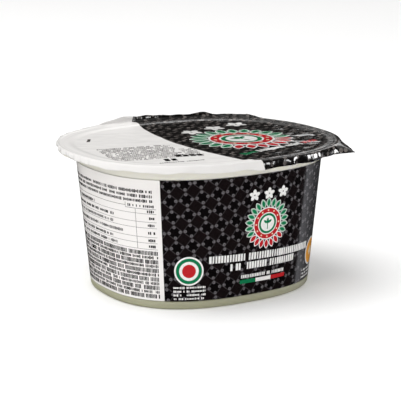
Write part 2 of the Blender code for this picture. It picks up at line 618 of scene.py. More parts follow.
@dataclass(frozen=True)
class PrintedLidFilm:
    """Peelable lidding film, printed and heat sealed: white to one side of a curve, black with a lattice beyond it."""

    black: str = "#0d0b0a"
    grey: str = "#837c78"
    line: str = "#3a3533"
    white: str = "#ebe9e7"
    pitch: float = 7.5
    curve_centre: tuple[float, float] = (177.2, -3.0)
    curve_radius: float = 190.0
    back_pull: tuple[float, float, float] = (56.0, 0.1, 5.4)
    front_pull: tuple[float, float, float] = (50.0, 0.03, 9.5)
    knot_radius: float = 0.13
    roughness: float = 0.11
    dull_roughness: float = 0.25

    def material(self, lattice: bpy.types.NodeTree, side: float) -> bpy.types.Material:
        """Builds the material.

        Args:
            lattice: the lattice group.
            side: side of the square that the film's own map covers, in metres.

        Returns:
            The material. It reads the film's own map, which is the film laid flat, the attribute
            "sealed", which is 1 on the band under the sealing head, and "drawn", which is 1 on
            the skirt, where the colour is darkened as painted shade.
        """
        material, tree, output = new_material("gravure_printed_lidding_film")
        side_mm = side / MM
        own_map = add(tree, "ShaderNodeUVMap", uv_map="wrap")
        place = add(
            tree,
            VECTOR_MATH,
            {0: own_map, 1: (side_mm,) * 3, 2: (-side_mm / 2, -side_mm / 2, 0.0)},
            operation="MULTIPLY_ADD",
        )
        pattern = add(tree, "ShaderNodeGroup", node_tree=lattice)
        tree.links.new(place.outputs[0], pattern.inputs["Place"])
        pattern.inputs["Pitch"].default_value = (self.pitch, self.pitch, 1.0)
        pattern.inputs["Knot Radius"].default_value = self.knot_radius
        # The half-tone grey takes unevenly on the film, so the knots come and go.
        patchy = add(tree, "ShaderNodeTexNoise", {"Vector": place, "Scale": 0.16, "Detail": 3.0})
        cover = add(tree, MAP_RANGE, {0: patchy.outputs[0], 1: 0.36, 2: 0.64, 3: 0.1, 4: 1.0})
        ink = linear(self.black)
        for mask, colour in (("Line", self.line), ("Knot", self.grey)):
            taken = add(tree, MATH, {0: pattern.outputs[mask], 1: cover}, operation="MULTIPLY")
            ink = add(tree, MIX, {"Factor": taken, "A": ink, "B": linear(colour)}, data_type="RGBA")
        black_side = self.black_side(tree, place)
        colour = add(tree, MIX, {"Factor": black_side, "A": linear(self.white), "B": ink}, data_type="RGBA")
        # The black is laid over the white, and its second drying cockles the film.
        share = add(tree, MAP_RANGE, {0: black_side, 3: 0.12, 4: 1.0})
        gloss = add(tree, MAP_RANGE, {0: black_side, 3: 0.12, 4: 0.5})
        # Painted shade: the skirt, drawn down over the rim, is made a little darker than the top of the film.
        drawn = add(tree, "ShaderNodeAttribute", attribute_name="drawn").outputs["Fac"]
        painted_skirt_shade = add(tree, MAP_RANGE, {0: drawn, 3: 1.0, 4: 0.93})
        colour = add(tree, VECTOR_MATH, {0: colour, "Scale": painted_skirt_shade}, operation="SCALE")
        # The bare white dries dull, and under the sealing head the film is pressed dull too.
        sealed = add(tree, "ShaderNodeAttribute", attribute_name="sealed").outputs["Fac"]
        bare = add(tree, MATH, {0: 1.0, 1: black_side}, operation="SUBTRACT")
        dull = add(tree, MATH, {0: sealed, 1: bare}, operation="MAXIMUM")
        roughness = add(tree, MAP_RANGE, {0: dull, 3: self.roughness, 4: self.dull_roughness})
        shader = add(
            tree,
            "ShaderNodeBsdfPrincipled",
            {
                "Base Color": colour,
                "Roughness": roughness,
                "IOR": 1.5,
                "Specular IOR Level": gloss,
                "Normal": FILM_RIPPLE.bump(tree, add(tree, "ShaderNodeTexCoord").outputs["Object"], share),
            },
        )
        tree.links.new(shader.outputs[0], output.inputs["Surface"])
        return material

    def black_side(self, tree: bpy.types.NodeTree, place: Any) -> Any:
        """Mask of the black: inside a large circle, pulled askew where the film folds over the rim.

        Args:
            tree: the material's tree.
            place: millimetres on the flat film.

        Returns:
            The mask's node.
        """
        flat = add(tree, "ShaderNodeSeparateXYZ", {0: place})
        shifted = flat.outputs["X"]
        for sign, (start, pull, reach) in ((1.0, self.back_pull), (-1.0, self.front_pull)):
            past = add(tree, MATH, {0: flat.outputs["Y"], 1: sign, 2: -start}, operation="MULTIPLY_ADD")
            past = add(tree, MATH, {0: past, 1: 0.0}, operation="MAXIMUM")
            past = add(tree, MATH, {0: past, 1: reach}, operation="MINIMUM")
            square = add(tree, MATH, {0: past, 1: past}, operation="MULTIPLY")
            shifted = add(tree, MATH, {0: square, 1: pull * sign, 2: shifted}, operation="MULTIPLY_ADD")
        pulled = add(tree, "ShaderNodeCombineXYZ", {0: shifted, 1: flat.outputs["Y"]})
        from_centre = add(tree, VECTOR_MATH, {0: pulled, 1: (*self.curve_centre, 0.0)}, operation="DISTANCE")
        return add(
            tree,
            MAP_RANGE,
            {0: from_centre.outputs["Value"], 1: self.curve_radius + 0.1, 2: self.curve_radius - 0.1},
        )


# ---------------------------------------------------------------- lofted pieces


def loft_tree() -> bpy.types.NodeTree:
    """Builds the Geometry Nodes tree that lofts a profile round a superellipse plan.

    The profile is a row of points: X is the half length, Z the height, and the attribute
    "exponent" the plan's exponent at that height.

    Returns:
        The tree.
    """
    tree = new_tree(
        "superellipse_loft",
        "GeometryNodeTree",
        {
            "Profile": ("NodeSocketGeometry", None),
            "Columns": ("NodeSocketInt", 240),
            "Stretch": ("NodeSocketFloat", 1.0),
            "Seam Angle": ("NodeSocketFloat", 0.0),
            "Material": ("NodeSocketMaterial", None),
        },
        {"Mesh": "NodeSocketGeometry"},
    )
    given = add(tree, "NodeGroupInput").outputs
    rings = add(tree, "GeometryNodeAttributeDomainSize", {0: given["Profile"]}).outputs["Point Count"]
    grid = add(
        tree,
        "GeometryNodeMeshGrid",
        {
            "Size X": 1.0,
            "Size Y": 1.0,
            "Vertices X": add(tree, MATH, {0: given["Columns"], 1: 1.0}, operation="ADD"),
            "Vertices Y": rings,
        },
    ).outputs["Mesh"]
    index = add(tree, "GeometryNodeInputIndex")
    ring = add(tree, "FunctionNodeIntegerMath", {0: index, 1: rings}, operation="MODULO")
    column = add(tree, "FunctionNodeIntegerMath", {0: index, 1: rings}, operation="DIVIDE_FLOOR")
    on_profile = add(
        tree,
        "GeometryNodeSampleIndex",
        {"Geometry": given["Profile"], "Value": add(tree, "GeometryNodeInputPosition"), "Index": ring},
        data_type="FLOAT_VECTOR",
    )
    stored = add(tree, "GeometryNodeInputNamedAttribute", {"Name": "exponent"}, data_type="FLOAT")
    exponent = add(
        tree,
        "GeometryNodeSampleIndex",
        {"Geometry": given["Profile"], "Value": stored, "Index": ring},
        data_type="FLOAT",
    )
    size = add(tree, "ShaderNodeSeparateXYZ", {0: on_profile})
    turn = add(tree, MATH, {0: column, 1: given["Columns"]}, operation="DIVIDE")
    angle = add(tree, MATH, {0: turn, 1: math.tau, 2: given["Seam Angle"]}, operation="MULTIPLY_ADD")
    cosine = add(tree, MATH, {0: angle}, operation="COSINE")
    sine = add(tree, MATH, {0: angle}, operation="SINE")
    powers = [
        add(
            tree,
            MATH,
            {0: add(tree, MATH, {0: part}, operation="ABSOLUTE"), 1: exponent},
            operation="POWER",
        )
        for part in (cosine, sine)
    ]
    fullness = add(tree, MATH, {0: powers[0], 1: powers[1]}, operation="ADD")
    root = add(tree, MATH, {0: -1.0, 1: exponent}, operation="DIVIDE")
    reach = add(
        tree,
        MATH,
        {0: add(tree, MATH, {0: fullness, 1: root}, operation="POWER"), 1: size.outputs["X"]},
        operation="MULTIPLY",
    )
    across = add(tree, MATH, {0: reach, 1: given["Stretch"]}, operation="DIVIDE")
    place = add(
        tree,
        "ShaderNodeCombineXYZ",
        {
            0: add(tree, MATH, {0: reach, 1: cosine}, operation="MULTIPLY"),
            1: add(tree, MATH, {0: across, 1: sine}, operation="MULTIPLY"),
            2: size.outputs["Z"],
        },
    )
    lofted = add(tree, "GeometryNodeSetPosition", {"Geometry": grid, "Position": place})
    closed = add(tree, "GeometryNodeMergeByDistance", {"Geometry": lofted, "Distance": 0.001 * MM})
    smooth = add(tree, "GeometryNodeSetShadeSmooth", {"Geometry": closed})
    real = add(tree, "GeometryNodeRealizeInstances", {"Geometry": smooth})
    dressed = add(tree, "GeometryNodeSetMaterial", {"Geometry": real, "Material": given["Material"]})
    add(tree, "NodeGroupOutput", {0: dressed})
    return tree


@dataclass
class Profile:
    """Row of points for the loft tree: half length, height and plan exponent, in metres."""

    rows: list[tuple[float, float, float]] = field(default_factory=list)

    def to(self, half: float, z: float, exponent: float = WALL.exponent) -> None:
        """Adds one point."""
        self.rows.append((half, z, exponent))

    def round_to(self, half: float, z: float, rise_first: bool, steps: int = 6) -> None:
        """Adds a quarter turn from the last point to this one.

        Args:
            half: half length at the end of the turn.
            z: height at the end of the turn.
            rise_first: True where the turn starts upright, False where it starts level.
            steps: number of points added.
        """
        from_half, from_z, exponent = self.rows[-1]
        for step in range(1, steps + 1):
            turn = math.pi / 2 * step / steps
            slow, quick = 1 - math.cos(turn), math.sin(turn)
            out, up = (slow, quick) if rise_first else (quick, slow)
            self.to(from_half + (half - from_half) * out, from_z + (z - from_z) * up, exponent)

    def line_object(self, name: str) -> bpy.types.Object:
        """Makes the object that the loft tree reads."""
        mesh = bpy.data.meshes.new(name)
        mesh.from_pydata(
            [(half, 0.0, z) for half, z, _ in self.rows],
            [(row, row + 1) for row in range(len(self.rows) - 1)],
            [],
        )
        exponents = mesh.attributes.new("exponent", "FLOAT", "POINT")
        exponents.data.foreach_set("value", [exponent for *_, exponent in self.rows])
        return link_object(name, mesh)


@dataclass
class MilkyTub:
    """The tub with its contents: base, tapered wall, flange with its turned lip, and the well under the film."""

    loft: bpy.types.NodeTree
    columns: int = 288
    edge: float = 0.25 * MM

    def profile(self) -> Profile:
        """Profile from the middle of the base to the middle of the top."""
        sizes, shape = SIZES, Profile()
        base_half = sizes.wall_half(sizes.base_rounding) - sizes.base_rounding
        foot = 3.0 * MM
        for share in (0.0, 0.35, 0.7, 0.9):
            shape.to((base_half - foot) * share, 0.6 * MM)
        shape.to(base_half - foot, 0.6 * MM)
        shape.to(base_half - foot + 0.6 * MM, 0.0)
        shape.to(base_half, 0.0)
        shape.round_to(sizes.wall_half(sizes.base_rounding), sizes.base_rounding, rise_first=False)
        sunk = sizes.label_thickness + sizes.gap
        low, high = sizes.label_bottom_z - sizes.gap, sizes.label_top_z + sizes.gap
        shape.to(sizes.wall_half(low - self.edge), low - self.edge)
        shape.round_to(sizes.wall_half(low) - self.edge, low, rise_first=True, steps=3)
        shape.to(sizes.wall_half(low) - sunk, low)
        shape.to(sizes.wall_half(high) - sunk, high)
        shape.to(sizes.wall_half(high) - self.edge, high)
        shape.round_to(sizes.wall_half(high + self.edge), high + self.edge, rise_first=False, steps=3)
        under_z = sizes.flange_top_z - sizes.flange_thickness
        shoulder_z = under_z - sizes.shoulder
        shape.to(sizes.wall_half(shoulder_z), shoulder_z)
        shape.round_to(sizes.wall_half(under_z) + sizes.shoulder, under_z, rise_first=True)
        lip_half = sizes.fold_half - sizes.gap
        lip_bottom_z = sizes.flange_top_z - sizes.lip_depth
        rim = RIM.exponent
        shape.to(lip_half - sizes.lip_width, under_z, rim)
        shape.to(lip_half - sizes.lip_width, lip_bottom_z + self.edge, rim)
        shape.to(lip_half - sizes.lip_width + self.edge, lip_bottom_z, rim)
        shape.to(lip_half - self.edge, lip_bottom_z, rim)
        shape.round_to(lip_half, lip_bottom_z + self.edge, rise_first=False, steps=3)
        shape.to(lip_half, sizes.flange_top_z - sizes.lip_rounding, rim)
        shape.round_to(lip_half - sizes.lip_rounding, sizes.flange_top_z, rise_first=True)
        shape.to(sizes.seal_half, sizes.flange_top_z, rim)
        well_z = sizes.flange_top_z - sizes.well_depth
        shape.to(sizes.panel_half, well_z, rim)
        for share in (0.9, 0.6, 0.3, 0.0):
            shape.to(sizes.panel_half * share, well_z, rim)
        return shape

    def build(self, material: bpy.types.Material) -> bpy.types.Object:
        """Lofts the tub and settles it in place of its node."""
        obj = self.profile().line_object("tub_shell")
        attach(
            obj,
            self.loft,
            {"Columns": self.columns, "Stretch": WALL.stretch, "Seam Angle": SEAM_ANGLE, "Material": material},
        )
        bake(obj)
        obj.data.set_sharp_from_angle(angle=math.radians(40))
        settle(obj, Slot.PLASTIC, "tub")
        return obj


@dataclass
class WrapLabel:
    """The label round the wall: one sheet with a flat map of itself, given its thickness at the end."""

    loft: bpy.types.NodeTree
    columns: int = 360
    rings: int = 14

    def sheet(self, material: bpy.types.Material) -> bpy.types.Object:
        """Lofts the label's outer face, with its map.

        Args:
            material: the label's finish.

        Returns:
            The sheet, which art is laid on before it gets its thickness.
        """
        shape = Profile()
        for ring in range(self.rings + 1):
            z = SIZES.label_bottom_z + (SIZES.label_top_z - SIZES.label_bottom_z) * ring / self.rings
            shape.to(SIZES.wall_half(z), z)
        obj = shape.line_object("label_wrap")
        attach(
            obj,
            self.loft,
            {"Columns": self.columns, "Stretch": WALL.stretch, "Seam Angle": SEAM_ANGLE, "Material": material},
        )
        bake(obj)
        self.lay_flat(obj.data)
        return obj

    def lay_flat(self, mesh: bpy.types.Mesh) -> None:
        """Gives the sheet its map: U runs round from the seam, V up from the lower edge, both in lengths."""
        places = np.empty(len(mesh.vertices) * 3, np.float32)
        mesh.vertices.foreach_get("co", places)
        places = places.reshape(-1, 3)
        angles = np.arctan2(places[:, 1] * WALL.stretch, places[:, 0])
        shares = WALL.arc_shares(angles, SEAM_ANGLE)
        shares[shares > 1 - 1e-5] = 0.0
        corners = np.empty(len(mesh.loops), np.int32)
        mesh.loops.foreach_get("vertex_index", corners)
        u = shares[corners]
        faces = np.repeat(np.arange(len(mesh.polygons)), [p.loop_total for p in mesh.polygons])
        highest = np.zeros(len(mesh.polygons))
        np.maximum.at(highest, faces, u)
        u = np.where((highest[faces] > 0.9) & (u < 0.1), u + 1.0, u)
        v = (places[corners, 2] - SIZES.label_bottom_z) / SIZES.label_length
        layer = mesh.uv_layers.new(name="wrap")
        layer.uv.foreach_set("vector", np.stack([u, v], 1).astype(np.float32).ravel())

    def finish(self, obj: bpy.types.Object) -> None:
        """Gives the sheet its thickness, inwards, and settles it."""
        wall = obj.modifiers.new("film_thickness", "SOLIDIFY")
        wall.thickness = 0.15 * MM
        wall.offset = -1
        bake(obj)
        obj.data.set_sharp_from_angle(angle=math.radians(40))
        settle(obj, Slot.LABEL, "label")


# ---------------------------------------------------------------- lid film


def waves(places: np.ndarray, length: float, seed: int, count: int = 24) -> np.ndarray:
    """Smooth random relief made of plane waves.

    Args:
        places: points, with X and Y in the last axis.
        length: mean wave length, in the unit of the points.
        seed: fixed seed.
        count: number of waves.

    Returns:
        Relief at each point, with a spread of about 1.
    """
    random = np.random.default_rng(seed)
    total = np.zeros(places.shape[:-1])
    for _ in range(count):
        turn, phase = random.uniform(0, 2 * math.pi, 2)
        pull = 2 * math.pi / (length * random.uniform(0.7, 1.5))
        total += np.sin(pull * (places[..., 0] * math.cos(turn) + places[..., 1] * math.sin(turn)) + phase)
    return total * math.sqrt(2 / count)


@dataclass
class LidFilm:
    """The lidding film: a sunk cockled panel, the sealed band, and a skirt with the pull tab.

    The free edge's keys give the angle in plan, the reach out from the fold and the rise above it.
    """

    columns: int = 480
    side: float = 160 * MM
    thickness: float = 0.15 * MM
    groove_depth: float = 0.07 * MM
    step_run_in: float = 2.2 * MM
    crest: tuple[float, float] = (0.4, 0.9)
    edge_keys: tuple[tuple[float, float, float], ...] = (
        (-180, 0.3, -2.5),
        (-150, 0.4, -3.0),
        (-120, 0.5, -3.3),
        (-90, 0.5, -4.1),
        (-51, 0.6, -3.7),
        (-48, 2.4, -3.9),
        (-45, 8.5, -3.6),
        (-36, 1.8, -1.4),
        (-27, 0.5, -1.8),
        (-12, 0.5, -3.4),
        (27, 0.5, -3.4),
        (36, 1.6, 0.4),
        (42, 3.2, 1.7),
        (51, 3.0, 1.2),
        (60, 3.0, 2.3),
        (69, 3.2, 1.8),
        (84, 3.2, 2.3),
        (97, 3.2, 2.9),
        (103, 3.3, 2.3),
        (112, 3.0, 0.6),
        (120, 2.2, 0.3),
        (138, 0.9, 0.4),
        (150, 0.2, -1.2),
        (165, 0.2, -2.0),
        (180, 0.3, -2.5),
    )

    def panel(self, angles: np.ndarray) -> tuple[np.ndarray, np.ndarray]:
        """Rings from near the middle to where the film starts to bend down.

        Args:
            angles: angle of each column.

        Returns:
            Points and flat points, each with rings in the first axis.
        """
        sizes = SIZES
        seal_z = sizes.flange_top_z + sizes.gap
        panel_z = seal_z - sizes.well_depth
        flat_half = sizes.panel_half - self.step_run_in
        inner = np.linspace(0.012, 1, 62) * flat_half
        step = np.linspace(0, 1, 6)[1:]
        halves = np.concatenate(
            [
                inner,
                flat_half + (sizes.well_step + self.step_run_in) * step,
                sizes.seal_half + sizes.seal_width * np.linspace(0, 1, 10)[1:],
            ]
        )
        rises = np.concatenate(
            [
                np.full(len(inner), panel_z),
                panel_z + sizes.well_depth * (3 * step**2 - 2 * step**3),
                seal_z - self.groove_depth * np.array([0.0, 0.0, 0.2, 1.0, 1.0, 0.2, 0.0, 0.0, 0.0]),
            ]
        )
        flat = RIM.points(angles[None, :], halves[:, None])
        inside = halves[:, None] / sizes.panel_half
        loose = np.clip((1.03 - inside) / 0.12, 0, 1)
        height = rises[:, None] + self.panel_relief(flat / MM, angles, halves / MM) * MM * np.clip(loose, 0.05, 1)
        return np.concatenate([flat, height[..., None]], -1), flat

    def panel_relief(self, flat: np.ndarray, angles: np.ndarray, halves: np.ndarray) -> np.ndarray:
        """Cockle of the loose panel and puckers along the seal, in millimetres.

        Args:
            flat: flat points in millimetres.
            angles: angle of each column.
            halves: half length of each ring, in millimetres.

        Returns:
            Height above the smooth panel.
        """
        cockle = 0.045 * waves(flat, 17, 3) + 0.025 * waves(flat, 6.5, 4)
        round_way = np.stack([np.cos(angles), np.sin(angles)], -1)[None] * 60
        gate = np.clip(0.5 + 0.6 * waves(round_way, 22, 5), 0, 1.3)
        pucker = waves(round_way, 4.4, 6)
        depth = SIZES.panel_half / MM - halves[:, None]
        # The film is drawn tighter at the tab's end, where the puckers are deeper and run further in.
        pulled = np.clip(0.5 + flat[..., 0] / 70, 0, 1)
        reach = 8 + 10 * pulled
        return cockle + (0.04 + 0.045 * pulled) * gate * pucker * np.exp(-np.clip(depth, 0, None) / reach) * (depth > -3)

    def free_edge(self, angles: np.ndarray) -> tuple[np.ndarray, np.ndarray]:
        """Reach and rise of the free edge from the fold at each angle, in metres."""
        keys = np.array(self.edge_keys)
        degrees = (np.degrees(angles) + 180) % 360 - 180
        reach = np.interp(degrees, keys[:, 0], keys[:, 1])
        rise = np.interp(degrees, keys[:, 0], keys[:, 2])
        scallop = 0.45 * (0.6 * np.sin(17 * angles) + 0.4 * np.sin(29 * angles + 1))
        round_way = np.stack([np.cos(angles), np.sin(angles)], -1) * 66
        # Only the edge that stands free was torn ragged.
        nicks = 0.22 * waves(round_way, 10.0, 15) * np.clip(rise, 0.3, 1)
        return reach * MM, (rise + scallop * np.clip(-rise / 4.0, 0, 1) + nicks) * MM

    def skirt(self, angles: np.ndarray) -> tuple[np.ndarray, np.ndarray]:
        """Rings from the bend to the free edge.

        Args:
            angles: angle of each column.

        Returns:
            Points and flat points, each with rings in the first axis.
        """
        sizes = SIZES
        shares = np.linspace(0, 1, 19)[1:, None]
        reach, rise = self.free_edge(angles)
        out = 2 * shares * (1 - shares) * self.crest[0] * MM + shares**2 * reach
        out = out - (1 - shares) ** 2 * sizes.fold_lead
        up = 2 * shares * (1 - shares) * self.crest[1] * MM + shares**2 * rise
        # Elsewhere the film rolls over the rim, but here it runs out flat and then stands upright.
        standing = np.clip(rise / (1.2 * MM), 0, 1)
        turn = shares * math.pi / 2
        run_out = np.sin(turn) ** 0.4 * (reach + sizes.fold_lead) - sizes.fold_lead
        out = out + (run_out - out) * standing
        up = up + ((1 - np.cos(turn) ** 0.4) * rise - up) * standing
        plan = RIM.points(angles[None, :], sizes.fold_half + out)
        first_out, first_up = -sizes.fold_lead, 0.0
        steps = np.hypot(
            np.diff(out, axis=0, prepend=first_out),
            np.diff(up, axis=0, prepend=first_up),
        )
        laid = sizes.fold_half - sizes.fold_lead + np.cumsum(steps, axis=0)
        flat = RIM.points(angles[None, :], laid)
        crumple = self.skirt_relief(angles) * shares**1.3
        outward = RIM.points(angles[None, :], np.ones_like(out))
        outward /= np.linalg.norm(outward, axis=-1, keepdims=True)
        plan = plan + outward * crumple[..., None] * MM
        height = sizes.flange_top_z + sizes.gap + up
        return np.concatenate([plan, height[..., None]], -1), flat

    def skirt_relief(self, angles: np.ndarray) -> np.ndarray:
        """Pleats of the skirt at each angle, outwards, in millimetres."""
        round_way = np.stack([np.cos(angles), np.sin(angles)], -1) * 66
        pleats = waves(round_way, 9, 11)
        ridges = 1 - 2 * np.abs(waves(round_way, 7, 12))
        fine = 1 - 2 * np.abs(waves(round_way, 3.2, 13))
        return np.clip(0.2 * pleats + 0.12 * ridges + 0.06 * fine, -0.45, 0.35)

    def sheet(self, material: bpy.types.Material) -> bpy.types.Object:
        """Builds the film's face with its map.

        Args:
            material: the film's finish.

        Returns:
            The sheet, which art is laid on before it gets its thickness.
        """
        angles = np.arange(self.columns) * 2 * math.pi / self.columns
        panel, panel_flat = self.panel(angles)
        skirt, skirt_flat = self.skirt(angles)
        rings = np.concatenate([panel, skirt])
        flat = np.concatenate([panel_flat, skirt_flat]) / self.side + 0.5
        count, columns = len(rings), self.columns
        middle = np.array([[0.0, 0.0, rings[0, :, 2].mean()]])
        places = np.concatenate([rings.reshape(-1, 3), middle])
        flat_places = np.concatenate([flat.reshape(-1, 2), [[0.5, 0.5]]])
        ring, column = np.meshgrid(np.arange(count - 1), np.arange(columns), indexing="ij")
        after = (column + 1) % columns
        quads = np.stack(
            [
                ring * columns + column,
                (ring + 1) * columns + column,
                (ring + 1) * columns + after,
                ring * columns + after,
            ],
            -1,
        ).reshape(-1, 4)
        fan = [(count * columns, index, (index + 1) % columns) for index in range(columns)]
        mesh = bpy.data.meshes.new("lid_sheet")
        mesh.from_pydata(places.tolist(), [], quads.tolist() + fan)
        corners = np.empty(len(mesh.loops), np.int32)
        mesh.loops.foreach_get("vertex_index", corners)
        layer = mesh.uv_layers.new(name="wrap")
        layer.uv.foreach_set("vector", flat_places[corners].astype(np.float32).ravel())
        sealed = np.zeros(count * columns + 1, np.float32)
        outer = len(panel)
        sealed[(outer - 13) * columns : (outer - 8) * columns] = 1.0
        sealed[(outer - 8) * columns : (outer + 2) * columns] = 0.75
        # drawn is 1 on the skirt, which the film's material darkens as painted shade.
        drawn = np.zeros(count * columns + 1, np.float32)
        drawn[outer * columns : (outer + 3) * columns] = 0.5
        drawn[(outer + 3) * columns : -1] = 1.0
        for name, values in (("sealed", sealed), ("drawn", drawn)):
            mesh.attributes.new(name, "FLOAT", "POINT").data.foreach_set("value", values)
        mesh.shade_smooth()
        mesh.materials.append(material)
        return link_object("lid_sheet", mesh)

    def finish(self, obj: bpy.types.Object) -> None:
        """Gives the film its thickness, outwards, and settles it."""
        wall = obj.modifiers.new("film_thickness", "SOLIDIFY")
        wall.thickness = self.thickness
        wall.offset = 1
        bake(obj)
        settle(obj, Slot.FILM, "lid_film")


# ---------------------------------------------------------------- print


class Ink(Enum):
    """Inks of the print, with the colour of each on white film."""

    WHITE = "#f7f6f4"
    CREAM = "#f0e3c4"
    GREEN = "#127a4d"
    LEAF = "#8fbfa4"
    RED = "#c4252b"
    ORANGE = "#f0a432"
    GREY = "#6a6664"
    BLACK = "#232021"


@dataclass(frozen=True)
class GravureInk:
    """Solvent ink laid down by a gravure cylinder: an even film that thins a little from place to place."""

    ink: Ink
    roughness: float
    ripple: Ripple

    def material(self, sheet_name: str) -> bpy.types.Material:
        """Builds the material.

        Args:
            sheet_name: plain name of the sheet that the ink is on.

        Returns:
            The material.
        """
        material, tree, output = new_material(f"gravure_ink_{self.ink.name.lower()}_on_{sheet_name}")
        place = add(tree, "ShaderNodeTexCoord").outputs["Object"]
        # The cells of the cylinder leave a grain of a few tenths of a millimetre.
        grain = add(tree, "ShaderNodeTexNoise", {"Vector": place, "Scale": 1400.0, "Detail": 2.0})
        cover = add(tree, MAP_RANGE, {0: grain.outputs[0], 1: 0.3, 2: 0.7, 3: 0.88, 4: 1.04})
        colour = add(tree, VECTOR_MATH, {0: linear(self.ink.value)[:3], "Scale": cover}, operation="SCALE")
        shader = add(
            tree,
            "ShaderNodeBsdfPrincipled",
            {
                "Base Color": colour,
                "Roughness": self.roughness,
                "IOR": 1.49,
                "Normal": self.ripple.bump(tree, place),
            },
        )
        tree.links.new(shader.outputs[0], output.inputs["Surface"])
        return material


def motifs_round_tree() -> bpy.types.NodeTree:
    """Builds the Geometry Nodes tree that sets one flat motif in an arc round the origin.

    The motif is a dot, or a petal where Pointed is 2. Lengths are in millimetres.

    Returns:
        The tree.
    """
    tree = new_tree(
        "motifs_round",
        "GeometryNodeTree",
        {
            "Count": ("NodeSocketInt", 12),
            "First": ("NodeSocketFloat", 0.0),
            "Step": ("NodeSocketFloat", 0.5),
            "Radius": ("NodeSocketFloat", 10.0),
            "Length": ("NodeSocketFloat", 4.0),
            "Width": ("NodeSocketFloat", 2.0),
            "Pointed": ("NodeSocketFloat", 1.0),
            "Corners": ("NodeSocketInt", 16),
            "Material": ("NodeSocketMaterial", None),
        },
        {"Mesh": "NodeSocketGeometry"},
    )
    given = add(tree, "NodeGroupInput").outputs
    index = add(tree, "GeometryNodeInputIndex")
    angle = add(tree, MATH, {0: index, 1: given["Step"], 2: given["First"]}, operation="MULTIPLY_ADD")
    place = add(
        tree,
        VECTOR_MATH,
        {
            0: add(
                tree,
                "ShaderNodeCombineXYZ",
                {
                    0: add(tree, MATH, {0: angle}, operation="COSINE"),
                    1: add(tree, MATH, {0: angle}, operation="SINE"),
                },
            ),
            "Scale": given["Radius"],
        },
        operation="SCALE",
    )
    points = add(tree, "GeometryNodePoints", {"Count": given["Count"], "Position": place})
    disc = add(tree, "GeometryNodeMeshCircle", {"Vertices": given["Corners"], "Radius": 0.5}, fill_type="NGON")
    spot = add(tree, "ShaderNodeSeparateXYZ", {0: add(tree, "GeometryNodeInputPosition")})
    doubled = add(
        tree,
        MATH,
        {0: add(tree, MATH, {0: spot.outputs["Y"]}, operation="ABSOLUTE"), 1: 2.0},
        operation="MULTIPLY",
    )
    power = add(tree, MATH, {0: given["Pointed"], 1: 1.0}, operation="SUBTRACT")
    narrowed = add(
        tree,
        MATH,
        {0: spot.outputs["Y"], 1: add(tree, MATH, {0: doubled, 1: power}, operation="POWER")},
        operation="MULTIPLY",
    )
    petal = add(
        tree,
        "GeometryNodeSetPosition",
        {
            "Geometry": disc,
            "Position": add(tree, "ShaderNodeCombineXYZ", {0: spot.outputs["X"], 1: narrowed}),
        },
    )
    placed = add(
        tree,
        "GeometryNodeInstanceOnPoints",
        {
            "Points": points,
            "Instance": petal,
            "Rotation": add(tree, "ShaderNodeCombineXYZ", {2: angle}),
            "Scale": add(tree, "ShaderNodeCombineXYZ", {0: given["Length"], 1: given["Width"], 2: 1.0}),
        },
    )
    real = add(tree, "GeometryNodeRealizeInstances", {"Geometry": placed})
    dressed = add(tree, "GeometryNodeSetMaterial", {"Geometry": real, "Material": given["Material"]})
    add(tree, "NodeGroupOutput", {0: dressed})
    return tree


